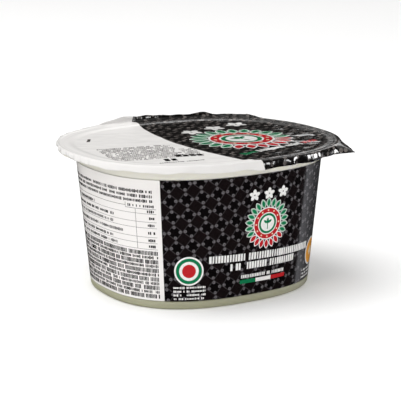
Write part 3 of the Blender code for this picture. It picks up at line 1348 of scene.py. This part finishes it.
def greeked_lines_tree() -> bpy.types.NodeTree:
    """Builds the Geometry Nodes tree of small print that says nothing: rows of short bars with gaps between words.

    The rows run along X from the origin and go down. Lengths are in millimetres.

    Returns:
        The tree.
    """
    tree = new_tree(
        "greeked_lines",
        "GeometryNodeTree",
        {
            "Lines": ("NodeSocketInt", 4),
            "Line Pitch": ("NodeSocketFloat", 2.0),
            "Length": ("NodeSocketFloat", 30.0),
            "Bar Pitch": ("NodeSocketFloat", 1.0),
            "Height": ("NodeSocketFloat", 1.3),
            "Least Height": ("NodeSocketFloat", 0.6),
            "Word Gaps": ("NodeSocketFloat", 0.15),
            "Ragged": ("NodeSocketFloat", 0.0),
            "Seed": ("NodeSocketInt", 1),
            "Material": ("NodeSocketMaterial", None),
        },
        {"Mesh": "NodeSocketGeometry"},
    )
    given = add(tree, "NodeGroupInput").outputs
    index = add(tree, "GeometryNodeInputIndex")
    columns = add(
        tree,
        MATH,
        {0: add(tree, MATH, {0: given["Length"], 1: given["Bar Pitch"]}, operation="DIVIDE")},
        operation="FLOOR",
    )
    count = add(tree, MATH, {0: columns, 1: given["Lines"]}, operation="MULTIPLY")
    column = add(tree, "FunctionNodeIntegerMath", {0: index, 1: columns}, operation="MODULO")
    row = add(tree, "FunctionNodeIntegerMath", {0: index, 1: columns}, operation="DIVIDE_FLOOR")
    middle = add(tree, MATH, {0: column, 1: 0.5}, operation="ADD")
    along = add(tree, MATH, {0: middle, 1: given["Bar Pitch"]}, operation="MULTIPLY")
    down = add(tree, MATH, {0: row, 1: given["Line Pitch"]}, operation="MULTIPLY")
    place = add(tree, "ShaderNodeCombineXYZ", {0: along, 1: add(tree, MATH, {0: 0.0, 1: down}, operation="SUBTRACT")})
    points = add(tree, "GeometryNodePoints", {"Count": count, "Position": place})
    chances = [
        add(
            tree,
            "FunctionNodeRandomValue",
            {"Min": low, "Max": high, "ID": which, "Seed": add(tree, MATH, {0: given["Seed"], 1: shift}, operation="ADD")},
            data_type="FLOAT",
        )
        for shift, low, high, which in (
            (0.0, 0.0, 1.0, index),
            (100.0, 0.0, given["Ragged"], row),
            (200.0, 0.5, 0.9, index),
            (300.0, given["Least Height"], 1.0, index),
        )
    ]
    gap = add(
        tree, "FunctionNodeCompare", {"A": chances[0], "B": given["Word Gaps"]}, operation="LESS_THAN", data_type="FLOAT"
    )
    limit = add(tree, MATH, {0: given["Length"], 1: chances[1]}, operation="SUBTRACT")
    past = add(tree, "FunctionNodeCompare", {"A": along, "B": limit}, operation="GREATER_THAN", data_type="FLOAT")
    left = add(
        tree,
        "GeometryNodeDeleteGeometry",
        {
            "Geometry": points,
            "Selection": add(tree, "FunctionNodeBooleanMath", {0: gap, 1: past}, operation="OR"),
        },
        domain="POINT",
    )
    bar = add(tree, "GeometryNodeMeshGrid", {"Size X": 1.0, "Size Y": 1.0, "Vertices X": 2, "Vertices Y": 2})
    size = add(
        tree,
        "ShaderNodeCombineXYZ",
        {
            0: add(tree, MATH, {0: given["Bar Pitch"], 1: chances[2]}, operation="MULTIPLY"),
            1: add(tree, MATH, {0: given["Height"], 1: chances[3]}, operation="MULTIPLY"),
            2: 1.0,
        },
    )
    placed = add(
        tree,
        "GeometryNodeInstanceOnPoints",
        {"Points": left, "Instance": bar.outputs["Mesh"], "Scale": size},
    )
    real = add(tree, "GeometryNodeRealizeInstances", {"Geometry": placed})
    dressed = add(tree, "GeometryNodeSetMaterial", {"Geometry": real, "Material": given["Material"]})
    add(tree, "NodeGroupOutput", {0: dressed})
    return tree


def wrap_tree() -> bpy.types.NodeTree:
    """Builds the Geometry Nodes tree that lays flat print on a sheet by the sheet's own map.

    The print's X and Y are millimetres on the flat sheet and its Z is its height over the sheet.

    Returns:
        The tree.
    """
    tree = new_tree(
        "wrap_print",
        "GeometryNodeTree",
        {
            "Print": ("NodeSocketGeometry", None),
            "Sheet": ("NodeSocketObject", None),
            "Sheet Size": ("NodeSocketFloat", 1.0),
            "Offset": ("NodeSocketVector", None),
            "Material": ("NodeSocketMaterial", None),
        },
        {"Mesh": "NodeSocketGeometry"},
    )
    given = add(tree, "NodeGroupInput").outputs
    position = add(tree, "GeometryNodeInputPosition")
    sheet = add(tree, "GeometryNodeObjectInfo", {"Object": given["Sheet"]}).outputs["Geometry"]
    shared = add(
        tree,
        VECTOR_MATH,
        {
            0: position,
            "Scale": add(tree, MATH, {0: 1.0, 1: given["Sheet Size"]}, operation="DIVIDE"),
        },
        operation="SCALE",
    )
    spot = add(
        tree,
        VECTOR_MATH,
        {0: add(tree, VECTOR_MATH, {0: shared, 1: given["Offset"]}, operation="ADD")},
        operation="FRACTION",
    )
    flat_map = add(tree, "GeometryNodeInputNamedAttribute", {"Name": "wrap"}, data_type="FLOAT_VECTOR")
    stored = add(tree, "GeometryNodeInputNamedAttribute", {"Name": "outward"}, data_type="FLOAT_VECTOR")
    found = [
        add(
            tree,
            "GeometryNodeSampleUVSurface",
            {"Mesh": sheet, "Value": value, "UV Map": flat_map, "Sample UV": spot},
            data_type="FLOAT_VECTOR",
        ).outputs["Value"]
        for value in (position, stored)
    ]
    lift = add(
        tree,
        MATH,
        {0: add(tree, "ShaderNodeSeparateXYZ", {0: position}).outputs["Z"], 1: MM},
        operation="MULTIPLY",
    )
    raised = add(tree, VECTOR_MATH, {0: found[1], "Scale": lift}, operation="SCALE")
    laid = add(
        tree,
        "GeometryNodeSetPosition",
        {"Geometry": given["Print"], "Position": add(tree, VECTOR_MATH, {0: found[0], 1: raised}, operation="ADD")},
    )
    real = add(tree, "GeometryNodeRealizeInstances", {"Geometry": laid})
    dressed = add(tree, "GeometryNodeSetMaterial", {"Geometry": real, "Material": given["Material"]})
    add(tree, "NodeGroupOutput", {0: dressed})
    return tree


@dataclass(frozen=True)
class Stand:
    """Where a motif stands on the flat sheet, how far it is turned, and how large it is drawn.

    Args:
        x: millimetres.
        y: millimetres.
        turn: degrees.
        size: scale.
    """

    x: float
    y: float
    turn: float = 0.0
    size: float = 1.0

    def to_sheet(self, points: Any) -> np.ndarray:
        """The motif's points on the sheet."""
        turn = math.radians(self.turn)
        spin = np.array([[math.cos(turn), math.sin(turn)], [-math.sin(turn), math.cos(turn)]])
        return np.asarray(points, float)[:, :2] @ spin * self.size + (self.x, self.y)

    def moved(self, along: float, up: float = 0.0) -> Stand:
        """A stand moved along its own turned axes."""
        x, y = self.to_sheet([(along, up)])[0]
        return Stand(float(x), float(y), self.turn, self.size)


def cut(outline: np.ndarray, axis: int, step: float) -> Iterator[np.ndarray]:
    """Cuts a convex outline along lines of one axis, so that it can follow a bent sheet.

    Args:
        outline: points in order.
        axis: 0 to cut across X, 1 to cut across Y.
        step: spacing of the lines.

    Yields:
        The pieces, in order.
    """
    first = math.floor(outline[:, axis].min() / step + 1e-6)
    last = math.ceil(outline[:, axis].max() / step - 1e-6)
    rest = outline
    for line in range(first + 1, last + 1):
        limit = line * step
        sides = rest[:, axis] - limit
        if line == last or sides.max() <= 1e-9:
            yield rest
            return
        below: list[np.ndarray] = []
        above: list[np.ndarray] = []
        for place, after, side, next_side in zip(rest, np.roll(rest, -1, 0), sides, np.roll(sides, -1)):
            if side <= 0:
                below.append(place)
            if side >= 0:
                above.append(place)
            if side * next_side < 0:
                crossing = place + (after - place) * side / (side - next_side)
                below.append(crossing)
                above.append(crossing)
        if len(below) > 2:
            yield np.array(below)
        rest = np.array(above)
        if len(rest) < 3:
            return


@dataclass
class Artwork:
    """Flat print of one sheet, in millimetres: convex outlines for each ink, each in a numbered layer."""

    motifs: bpy.types.NodeTree
    lines: bpy.types.NodeTree
    outlines: dict[Ink, list[tuple[int, np.ndarray]]] = field(default_factory=dict)

    def outline(self, ink: Ink, layer: int, stand: Stand, points: Any) -> None:
        """Draws one convex outline, turned to run counter-clockwise."""
        places = stand.to_sheet(points)
        after = np.roll(places, -1, 0)
        if (places[:, 0] * after[:, 1] - places[:, 1] * after[:, 0]).sum() < 0:
            places = places[::-1]
        self.outlines.setdefault(ink, []).append((layer, places))

    def bar(self, ink: Ink, layer: int, stand: Stand, left: float, low: float, right: float, high: float) -> None:
        """Draws an upright rectangle."""
        self.outline(ink, layer, stand, [(left, low), (right, low), (right, high), (left, high)])

    def disc(self, ink: Ink, layer: int, stand: Stand, radius: float, corners: int = 48) -> None:
        """Draws a disc, or a lozenge where it has 4 corners."""
        turns = np.arange(corners) * 2 * math.pi / corners
        self.outline(ink, layer, stand, np.stack([np.cos(turns), np.sin(turns)], 1) * radius)

    def ring(self, ink: Ink, layer: int, stand: Stand, outer: float, inner: float, corners: int = 48) -> None:
        """Draws a ring."""
        turns = np.arange(corners + 1) * 2 * math.pi / corners
        ways = np.stack([np.cos(turns), np.sin(turns)], 1)
        for way, after in zip(ways, ways[1:]):
            self.outline(ink, layer, stand, [way * inner, way * outer, after * outer, after * inner])

    def grown(self, ink: Ink, layer: int, stand: Stand, tree: bpy.types.NodeTree, values: dict[str, Any]) -> None:
        """Draws the flat mesh that a Geometry Nodes tree makes.

        Args:
            ink: ink that it is drawn in.
            layer: layer that it lies in.
            stand: where it stands.
            tree: the tree.
            values: values of the tree's inputs.
        """
        maker = link_object("flat_motif", bpy.data.meshes.new("flat_motif"))
        attach(maker, tree, values)
        bake(maker)
        places = np.empty(len(maker.data.vertices) * 3, np.float32)
        maker.data.vertices.foreach_get("co", places)
        places = places.reshape(-1, 3)
        for polygon in maker.data.polygons:
            self.outline(ink, layer, stand, places[list(polygon.vertices)])
        bpy.data.objects.remove(maker)

    def small_print(self, ink: Ink, layer: int, stand: Stand, **values: float) -> None:
        """Draws rows of greeked lines. Names in values are the tree's inputs, with _ for a space."""
        self.grown(
            ink, layer, stand, self.lines, {name.replace("_", " ").title(): value for name, value in values.items()}
        )

    def arc(self, ink: Ink, layer: int, stand: Stand, **values: float) -> None:
        """Draws dots or petals in an arc. Names in values are the tree's inputs."""
        self.grown(ink, layer, stand, self.motifs, {name.title(): value for name, value in values.items()})


@dataclass
class PrintRun:
    """Turns flat artwork into closed plates of ink on one sheet.

    Args:
        sheet: the sheet with its map "wrap" and its attribute "outward".
        sheet_name: plain name used in the names of pieces and materials.
        slot: material slot of the record.
        size_mm: what one unit of the map is, in millimetres.
        offset: the map's place of the artwork's origin.
        steps: spacing of the cuts across X and Y, in millimetres.
        roughness: roughness of the sheet's gloss.
        ripple: ripple of the sheet's gloss.
        first_lift: height of the first layer's face over the sheet, in millimetres.
        thickness: thickness of each plate, in millimetres.
        layer_lift: rise from each layer to the next, in millimetres.
    """

    wrap: bpy.types.NodeTree
    sheet: bpy.types.Object
    sheet_name: str
    slot: Slot
    size_mm: float
    offset: tuple[float, float]
    steps: tuple[float, float]
    roughness: float
    ripple: Ripple
    first_lift: float
    thickness: float
    layer_lift: float = 0.02

    def keep_normals(self) -> None:
        """Stores the sheet's outward directions for the wrap tree."""
        mesh = self.sheet.data
        normals = np.empty(len(mesh.vertices) * 3, np.float32)
        mesh.vertices.foreach_get("normal", normals)
        mesh.attributes.new("outward", "FLOAT_VECTOR", "POINT").data.foreach_set("vector", normals)

    def plate_mesh(self, name: str, outlines: list[tuple[int, np.ndarray]]) -> bpy.types.Mesh:
        """Makes the flat mesh of one ink, cut finely enough to bend.

        Args:
            name: name of the mesh.
            outlines: layer and points of each outline.

        Returns:
            The mesh, in millimetres, with each layer's height as Z.
        """
        net = bmesh.new()
        for layer, outline in outlines:
            lift = self.first_lift + self.layer_lift * layer
            for strip in cut(outline, 0, self.steps[0]):
                for piece in cut(strip, 1, self.steps[1]):
                    net.faces.new([net.verts.new((x, y, lift)) for x, y in piece])
        bmesh.ops.remove_doubles(net, verts=net.verts, dist=0.004)
        bmesh.ops.dissolve_degenerate(net, edges=net.edges, dist=0.002)
        mesh = bpy.data.meshes.new(name)
        net.to_mesh(mesh)
        net.free()
        return mesh

    def lay(self, art: Artwork) -> None:
        """Lays every ink of the artwork on the sheet and settles each as a piece."""
        self.keep_normals()
        for ink, outlines in art.outlines.items():
            name = f"{self.sheet_name}_print_{ink.name.lower()}"
            plate = link_object(name, self.plate_mesh(name, outlines))
            attach(
                plate,
                self.wrap,
                {
                    "Sheet": self.sheet,
                    "Sheet Size": self.size_mm,
                    "Offset": (*self.offset, 0.0),
                    "Material": GravureInk(ink, self.roughness, self.ripple).material(self.sheet_name),
                },
            )
            bake(plate)
            body = plate.modifiers.new("ink_thickness", "SOLIDIFY")
            body.thickness = self.thickness * MM
            body.offset = -1
            bake(plate)
            settle(plate, self.slot)
        self.sheet.data.attributes.remove(self.sheet.data.attributes["outward"])


@dataclass(frozen=True)
class Rosette:
    """Round ornament: petals round a dotted ring, green all round but for a red group below, and a sprig inside."""

    red: int = 7
    petals: int = 22

    def draw(self, art: Artwork, stand: Stand) -> None:
        """Draws the ornament, 25 mm across at size 1.

        Args:
            art: artwork that it is drawn in.
            stand: where it stands.
        """
        step = 2 * math.pi / self.petals
        first_red = -math.pi / 2 - step * (self.red - 1) / 2
        common = {"radius": 10.3, "step": step, "pointed": 1.7}
        art.arc(Ink.WHITE, 0, stand, count=self.petals, first=first_red, length=5.0, width=2.85, **common)
        fill = {"length": 4.0, "width": 2.05, **common}
        green = {"count": self.petals - self.red, "first": first_red + step * self.red}
        art.arc(Ink.RED, 1, stand, count=self.red, first=first_red, **fill)
        art.arc(Ink.LEAF, 1, stand, **green, **{**fill, "length": 4.4, "width": 2.4})
        art.arc(Ink.GREEN, 2, stand, **green, **{**fill, "length": 3.4, "width": 1.5})
        art.disc(Ink.WHITE, 2, stand, 8.1)
        art.ring(Ink.RED, 3, stand, 7.6, 5.5)
        art.ring(Ink.GREEN, 3, stand, 5.0, 3.9)
        dots = {"radius": 6.55, "step": math.pi / 6, "length": 0.85, "width": 0.85, "corners": 10}
        art.arc(Ink.CREAM, 4, stand, count=12, first=0.0, **dots)
        leaves = {"step": math.pi / 3.4, "radius": 1.5, "length": 2.7, "width": 1.25, "pointed": 2.0}
        art.arc(Ink.GREEN, 3, stand, count=3, first=math.pi / 2 - math.pi / 3.4, **leaves)
        art.bar(Ink.GREEN, 3, stand, -0.22, -2.9, 0.22, 0.4)


def blossom(art: Artwork, stand: Stand) -> None:
    """Draws a white blossom of five petals, 11 mm across at size 1."""
    petals = {"count": 5, "first": math.pi / 2, "step": math.tau / 5, "pointed": 1.6}
    art.arc(Ink.WHITE, 0, stand, radius=3.1, length=5.2, width=3.6, **petals)


@dataclass(frozen=True)
class LabelArt:
    """Print on the label: an ornament over rows of plain slabs on both long sides, marks and small print."""

    panel_right: float = -46.6
    panel_left: float = -124.0

    def front(self, art: Artwork, centre: float) -> None:
        """Draws one long side.

        Args:
            art: the label's artwork.
            centre: place of the ornament round the label, in millimetres.
        """
        Rosette().draw(art, Stand(centre, 34.2, size=0.98))
        for column in (-8.0, 0.0, 8.0):
            blossom(art, Stand(centre + column, 48.8, size=0.52))
        rows = (
            (Stand(centre - 30.8, 19.6, -1.3), {"length": 62.2, "bar_pitch": 1.5, "height": 3.5, "seed": 5}),
            (Stand(centre - 19.8, 14.8, -0.6), {"length": 39.8, "bar_pitch": 1.5, "height": 3.4, "seed": 9}),
            (Stand(centre - 13.6, 9.4), {"length": 26.3, "bar_pitch": 1.0, "height": 1.6, "seed": 2}),
        )
        for stand, values in rows:
            art.small_print(Ink.WHITE, 0, stand, lines=1, least_height=0.97, word_gaps=0.1, **values)
        third = 27.2 / 3
        for place, ink in enumerate((Ink.GREEN, Ink.WHITE, Ink.RED)):
            start = centre - 14.1 + third * place
            art.bar(ink, 0, Stand(0, 0), start, 5.9, start + third, 7.8)
        self.marks(art, centre)

    def marks(self, art: Artwork, centre: float) -> None:
        """Draws the two roundels beside the slabs and the lines below them."""
        white = Stand(centre - 40.5, 14.8)
        art.disc(Ink.WHITE, 0, white, 7.1)
        art.ring(Ink.GREEN, 1, white, 6.3, 4.7)
        art.disc(Ink.RED, 1, white, 3.3)
        art.small_print(
            Ink.WHITE,
            0,
            Stand(centre - 48.3, 6.7),
            lines=4,
            line_pitch=1.85,
            length=16.5,
            bar_pitch=0.8,
            height=1.1,
            seed=11,
        )
        warm = Stand(centre + 38.0, 13.5)
        art.disc(Ink.WHITE, 0, warm, 7.1)
        art.disc(Ink.ORANGE, 1, warm, 6.2)
        art.disc(Ink.CREAM, 2, warm, 2.6, corners=4)
        art.small_print(
            Ink.WHITE,
            0,
            Stand(centre + 28.5, 5.2),
            lines=3,
            line_pitch=1.8,
            length=14.0,
            bar_pitch=0.8,
            height=1.1,
            seed=12,
        )

    def panel(self, art: Artwork) -> None:
        """Draws the table and the small print on the white panel."""
        right, left = self.panel_right, self.panel_left
        back = Stand(right - 1.5, 53.0, 180.0)
        art.small_print(
            Ink.BLACK,
            0,
            back,
            lines=3,
            line_pitch=-2.25,
            length=right - left - 2.0,
            bar_pitch=0.8,
            height=1.6,
            word_gaps=0.12,
            ragged=14,
            seed=21,
        )
        plain = Stand(0, 0)
        art.bar(Ink.GREY, 0, plain, left, 45.6, -62.1, 45.8)
        art.bar(Ink.GREY, 0, plain, -62.1, 44.6, right, 44.8)
        for height in (42.4, 38.4, 35.5, 31.1, 28.2, 25.2):
            art.bar(Ink.GREY, 0, plain, left, height - 0.08, right, height + 0.08)
        art.bar(Ink.GREY, 0, plain, -56.9, 25.2, -56.7, 44.7)
        art.bar(Ink.GREY, 0, plain, -62.2, 44.6, -62.0, 47.2)
        reading = {"lines": 1, "height": 1.4, "bar_pitch": 0.9, "word_gaps": 0.2}
        art.small_print(Ink.BLACK, 0, Stand(right - 0.9, 46.0, 180.0), length=13.5, seed=29, **reading)
        for seed, height in enumerate((43.5, 40.2, 36.8, 33.1, 29.5, 26.6)):
            row = {"lines": 1, "height": 1.5, "bar_pitch": 0.9}
            art.small_print(Ink.BLACK, 0, Stand(right - 0.9, height, 180.0), length=4.0, seed=40 + seed, **row)
            entry = Stand(left, height)
            art.small_print(Ink.BLACK, 0, entry, length=60.0, ragged=22, word_gaps=0.14, seed=30 + seed, **row)
        block = {"line_pitch": -4.24, "length": right - left, "bar_pitch": 0.75, "word_gaps": 0.08, "ragged": 3}
        art.small_print(
            Ink.BLACK, 0, Stand(right, 23.3, 180.0), lines=6, height=2.1, least_height=0.9, seed=51, **block
        )
        art.small_print(
            Ink.BLACK, 0, Stand(right, 21.2, 180.0), lines=5, height=1.65, least_height=0.6, seed=52, **block
        )

    def draw(self, art: Artwork) -> None:
        """Draws all of it: the two long sides are alike."""
        self.panel(art)
        for centre in (8.3, SIZES.label_length / MM / 2 - 8.3):
            self.front(art, centre)


@dataclass(frozen=True)
class LidArt:
    """Print on the lid: the ornament on the black, small print on the white."""

    turn: float = 13.5

    def draw(self, art: Artwork) -> None:
        """Draws all of it.

        Args:
            art: the lid's artwork.
        """
        Rosette().draw(art, Stand(20.8, -6.2, self.turn, 2.03))
        row = Stand(24.2, 25.7, self.turn)
        for column in (-16.0, 0.0, 16.0):
            blossom(art, row.moved(column))
        slabs = {"lines": 1, "bar_pitch": 2.0, "height": 4.2, "least_height": 0.55, "word_gaps": 0.16}
        foot = Stand(25.2, -33.9, self.turn)
        for ink, start, length, seed in (
            (Ink.GREEN, -26.0, 10.4, 61),
            (Ink.WHITE, -15.6, 31.2, 62),
            (Ink.RED, 15.6, 10.4, 63),
        ):
            art.small_print(ink, 0, foot.moved(start), length=length, seed=seed, **slabs)
        self.small(art)

    def small(self, art: Artwork) -> None:
        """Draws the small print on the white. Its last row, black and nearly unbroken along the crease at the front,
        is partly print and partly a painted shadow of that crease.
        """
        block = Stand(-53.6, 5.0, -10.8)
        art.small_print(
            Ink.GREY,
            0,
            block,
            lines=13,
            line_pitch=2.45,
            length=37.0,
            bar_pitch=0.95,
            height=1.5,
            word_gaps=0.14,
            ragged=4,
            seed=71,
        )
        art.small_print(
            Ink.GREY, 0, block.moved(37.0, -12.2), lines=8, line_pitch=2.45, length=8.0, bar_pitch=0.95, height=1.5, seed=74
        )
        bold = {"lines": 1, "bar_pitch": 3.4, "height": 5.0, "least_height": 0.85, "word_gaps": 0.0}
        art.small_print(Ink.BLACK, 1, Stand(-29.2, -27.6, -13.0), length=13.6, seed=72, **bold)
        art.small_print(Ink.BLACK, 1, Stand(-38.6, -33.4, -13.0), length=10.2, seed=73, **bold)
        # Partly painted shadow: this last black row, with few gaps, follows the crease at the front where the film
        # dips into the well.
        foot = {"lines": 1, "bar_pitch": 1.1, "height": 1.1, "word_gaps": 0.06}
        art.small_print(Ink.BLACK, 1, Stand(-43.6, -38.4, -9.5), length=22.0, seed=75, **foot)
        art.bar(Ink.GREY, 0, Stand(-46.0, 28.4, -30.6), -0.8, -3.6, 0.8, 3.6)


# ---------------------------------------------------------------- studio


@dataclass(frozen=True)
class Softbox:
    """Square area light at a bearing from the camera's own, aimed at the tub.

    Args:
        name: name of the light.
        bearing: degrees round from the camera, positive to its right.
        height: degrees above the horizon.
        distance: metres from the tub.
        side: metres.
        watts: power.
        glossy: whether it shows in reflections.
        diffuse: whether it lights anything but reflections.
    """

    name: str
    bearing: float
    height: float
    distance: float
    side: float
    watts: float
    glossy: bool = True
    diffuse: bool = True


@dataclass
class Studio:
    """Plain pale floor, soft lights and the camera."""

    bearing: float = -30.6
    camera_distance: float = 725.4 * MM
    camera_height: float = 207.1 * MM
    pan: float = 0.001
    tilt: float = 0.225
    roll: float = -0.003
    lens: float = 135.14
    card_bearings: tuple[float, float] = (110.0, 185.0)
    card_fading: float = 5.6
    card_level: float = 1.2
    softboxes: tuple[Softbox, ...] = (
        Softbox("key_left", -60.0, 66.0, 3.0, 2.6, 67.0),
        Softbox("front_fill", 6.0, 8.0, 3.0, 1.6, 37.0, glossy=False),
        Softbox("left_fill", -90.0, 5.0, 3.0, 1.6, 16.0, glossy=False),
        Softbox("front_glint", 60.0, 4.0, 3.0, 0.5, 14.0, diffuse=False),
        Softbox("side_glint", 95.0, 6.0, 3.0, 0.9, 50.0, diffuse=False),
        Softbox("back_right", 160.0, 30.0, 3.0, 1.6, 15.0, diffuse=False),
    )

    def direction(self, bearing: float, height: float) -> Vector:
        """Unit vector from the tub at a bearing from the camera's and a height, both in degrees."""
        turn, rise = math.radians(self.bearing + bearing), math.radians(height)
        return Vector((math.sin(turn) * math.cos(rise), -math.cos(turn) * math.cos(rise), math.sin(rise)))

    def place_camera(self) -> None:
        """Puts the camera at its bearing, aimed by pan, tilt and roll."""
        forward = Vector(
            (math.sin(self.pan) * math.cos(self.tilt), math.cos(self.pan) * math.cos(self.tilt), -math.sin(self.tilt))
        )
        level = Vector((math.cos(self.pan), -math.sin(self.pan), 0))
        upright = level.cross(forward)
        right = math.cos(self.roll) * level + math.sin(self.roll) * upright
        up = -math.sin(self.roll) * level + math.cos(self.roll) * upright
        axes = Matrix((right, up, -forward)).transposed().to_4x4()
        data = bpy.data.cameras.new("camera")
        data.lens = self.lens
        data.clip_start, data.clip_end = 0.01, 50
        camera = bpy.data.objects.new("camera", data)
        bpy.context.scene.collection.objects.link(camera)
        stand = Matrix.Translation((0, -self.camera_distance, self.camera_height))
        camera.matrix_world = Matrix.Rotation(math.radians(self.bearing), 4, "Z") @ stand @ axes
        bpy.context.scene.camera = camera

    def place_lights(self) -> None:
        """Puts the softboxes round the tub."""
        target = Vector((0, 0, 35 * MM))
        for box in self.softboxes:
            data = bpy.data.lights.new(box.name, "AREA")
            data.shape, data.size, data.energy = "SQUARE", box.side, box.watts
            light = bpy.data.objects.new(box.name, data)
            away = self.direction(box.bearing, box.height)
            light.location = target + away * box.distance
            light.rotation_mode = "QUATERNION"
            light.rotation_quaternion = away.to_track_quat("Z", "Y")
            light.visible_glossy, light.visible_diffuse = box.glossy, box.diffuse
            bpy.context.scene.collection.objects.link(light)

    def place_floor(self) -> None:
        """Lays a wide pale floor. It throws light up on the tub, but shows in no gloss."""
        half = 6.0
        mesh = bpy.data.meshes.new("floor")
        mesh.from_pydata([(-half, -half, 0), (half, -half, 0), (half, half, 0), (-half, half, 0)], [], [(0, 1, 2, 3)])
        material, tree, output = new_material("matt_white_paper")
        place = add(tree, "ShaderNodeTexCoord").outputs["Object"]
        tooth = add(tree, "ShaderNodeTexNoise", {"Vector": place, "Scale": 900.0, "Detail": 2.0})
        bump = add(tree, "ShaderNodeBump", {"Height": tooth.outputs[0], "Strength": 0.02, "Distance": 0.1 * MM})
        shader = add(
            tree,
            "ShaderNodeBsdfPrincipled",
            {
                "Base Color": linear("#f4f4f4"),
                "Roughness": 1.0,
                "Specular IOR Level": 0.0,
                "Normal": bump,
                "Emission Color": linear("#ffffff"),
                "Emission Strength": 0.14,
            },
        )
        tree.links.new(shader.outputs[0], output.inputs["Surface"])
        mesh.materials.append(material)
        floor = link_object("floor", mesh)
        floor.visible_glossy = False

    def place_reflector(self) -> None:
        """Stands a curved white card behind the tub's right side, lit less and less towards its far end.

        It shows only as the upright band of gloss on the wall.
        """
        mesh = bpy.data.meshes.new("reflector")
        low, high, distance = -0.9, 0.05, 0.9
        ways = [self.direction(bearing, 0) * distance for bearing in np.linspace(*self.card_bearings, 13)]
        count = len(ways)
        mesh.from_pydata(
            [(way.x, way.y, z) for z in (low, high) for way in ways],
            [],
            [(index, index + 1, count + index + 1, count + index) for index in range(count - 1)],
        )
        fade = self.card_level * np.exp(-self.card_fading * np.linspace(0, 1, count))
        mesh.attributes.new("fade", "FLOAT", "POINT").data.foreach_set("value", np.tile(fade, 2).astype(np.float32))
        material, tree, output = new_material("lit_white_card")
        level = add(tree, "ShaderNodeAttribute", attribute_name="fade").outputs["Fac"]
        shader = add(tree, "ShaderNodeEmission", {"Color": linear("#f7f8ff"), "Strength": level})
        tree.links.new(shader.outputs[0], output.inputs["Surface"])
        material.cycles.emission_sampling = "NONE"
        mesh.materials.append(material)
        card = link_object("reflector", mesh)
        card.visible_camera = card.visible_diffuse = card.visible_shadow = False

    def light_world(self) -> None:
        """Gives the room its light: pale above, darker towards the horizon and the camera, and black below."""
        world = bpy.data.worlds.new("room")
        bpy.context.scene.world = world
        world.use_nodes = True
        tree = world.node_tree
        tree.nodes.clear()
        place = add(tree, "ShaderNodeTexCoord").outputs["Generated"]
        height = add(tree, "ShaderNodeSeparateXYZ", {0: place}).outputs["Z"]
        ramp = add(tree, "ShaderNodeValToRGB", {0: height})
        stops = ramp.color_ramp.elements
        stops[0].position, stops[0].color = 0.0, (0, 0, 0, 1)
        stops[1].position, stops[1].color = 1.0, (0.8, 0.8, 0.8, 1)
        for position, level in ((0.02, 0.012), (0.24, 0.012), (0.36, 0.07), (0.47, 0.4), (0.58, 0.75)):
            stop = stops.new(position)
            stop.color = (level, 0.985 * level, 0.965 * level, 1)
        camera_side = add(tree, VECTOR_MATH, {0: place, 1: tuple(self.direction(0, 0))}, operation="DOT_PRODUCT")
        strength = add(tree, MAP_RANGE, {0: camera_side.outputs["Value"], 1: 0.1, 2: 0.55, 3: 1.15, 4: 0.1})
        back = add(tree, "ShaderNodeBackground", {"Color": ramp, "Strength": strength})
        add(tree, "ShaderNodeOutputWorld", {"Surface": back})

    def build(self) -> None:
        """Sets everything up."""
        bpy.context.scene.view_settings.view_transform = "Standard"
        self.place_camera()
        self.place_lights()
        self.place_floor()
        self.place_reflector()
        self.light_world()


def main() -> None:
    """Builds the pieces in order, then the studio, and logs each piece's face count."""
    logging.basicConfig(level=logging.INFO, format="%(message)s")
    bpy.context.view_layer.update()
    loft, motifs, lines, wrap = loft_tree(), motifs_round_tree(), greeked_lines_tree(), wrap_tree()
    lattice = lattice_group()
    MilkyTub(loft).build(NaturalPolypropylene().material())
    label = WrapLabel(loft)
    label_sheet = label.sheet(PrintedLabel().material(lattice, SIZES.label_length))
    label_art = Artwork(motifs, lines)
    LabelArt().draw(label_art)
    PrintRun(
        wrap,
        label_sheet,
        "label",
        Slot.LABEL,
        size_mm=SIZES.label_length / MM,
        offset=(SEAM_SHARE, 0.0),
        steps=(1.0, 60.0),
        roughness=PrintedLabel.roughness,
        ripple=LABEL_RIPPLE,
        first_lift=0.02,
        thickness=0.03,
    ).lay(label_art)
    label.finish(label_sheet)
    film = LidFilm()
    film_sheet = film.sheet(PrintedLidFilm().material(lattice, film.side))
    lid_art = Artwork(motifs, lines)
    LidArt().draw(lid_art)
    PrintRun(
        wrap,
        film_sheet,
        "lid",
        Slot.FILM,
        size_mm=film.side / MM,
        offset=(0.5, 0.5),
        steps=(1.0, 1.0),
        roughness=PrintedLidFilm.roughness,
        ripple=FILM_RIPPLE,
        first_lift=film.thickness / MM + 0.05,
        thickness=0.06,
    ).lay(lid_art)
    film.finish(film_sheet)
    Studio().build()


if __name__ == "__main__":
    main()
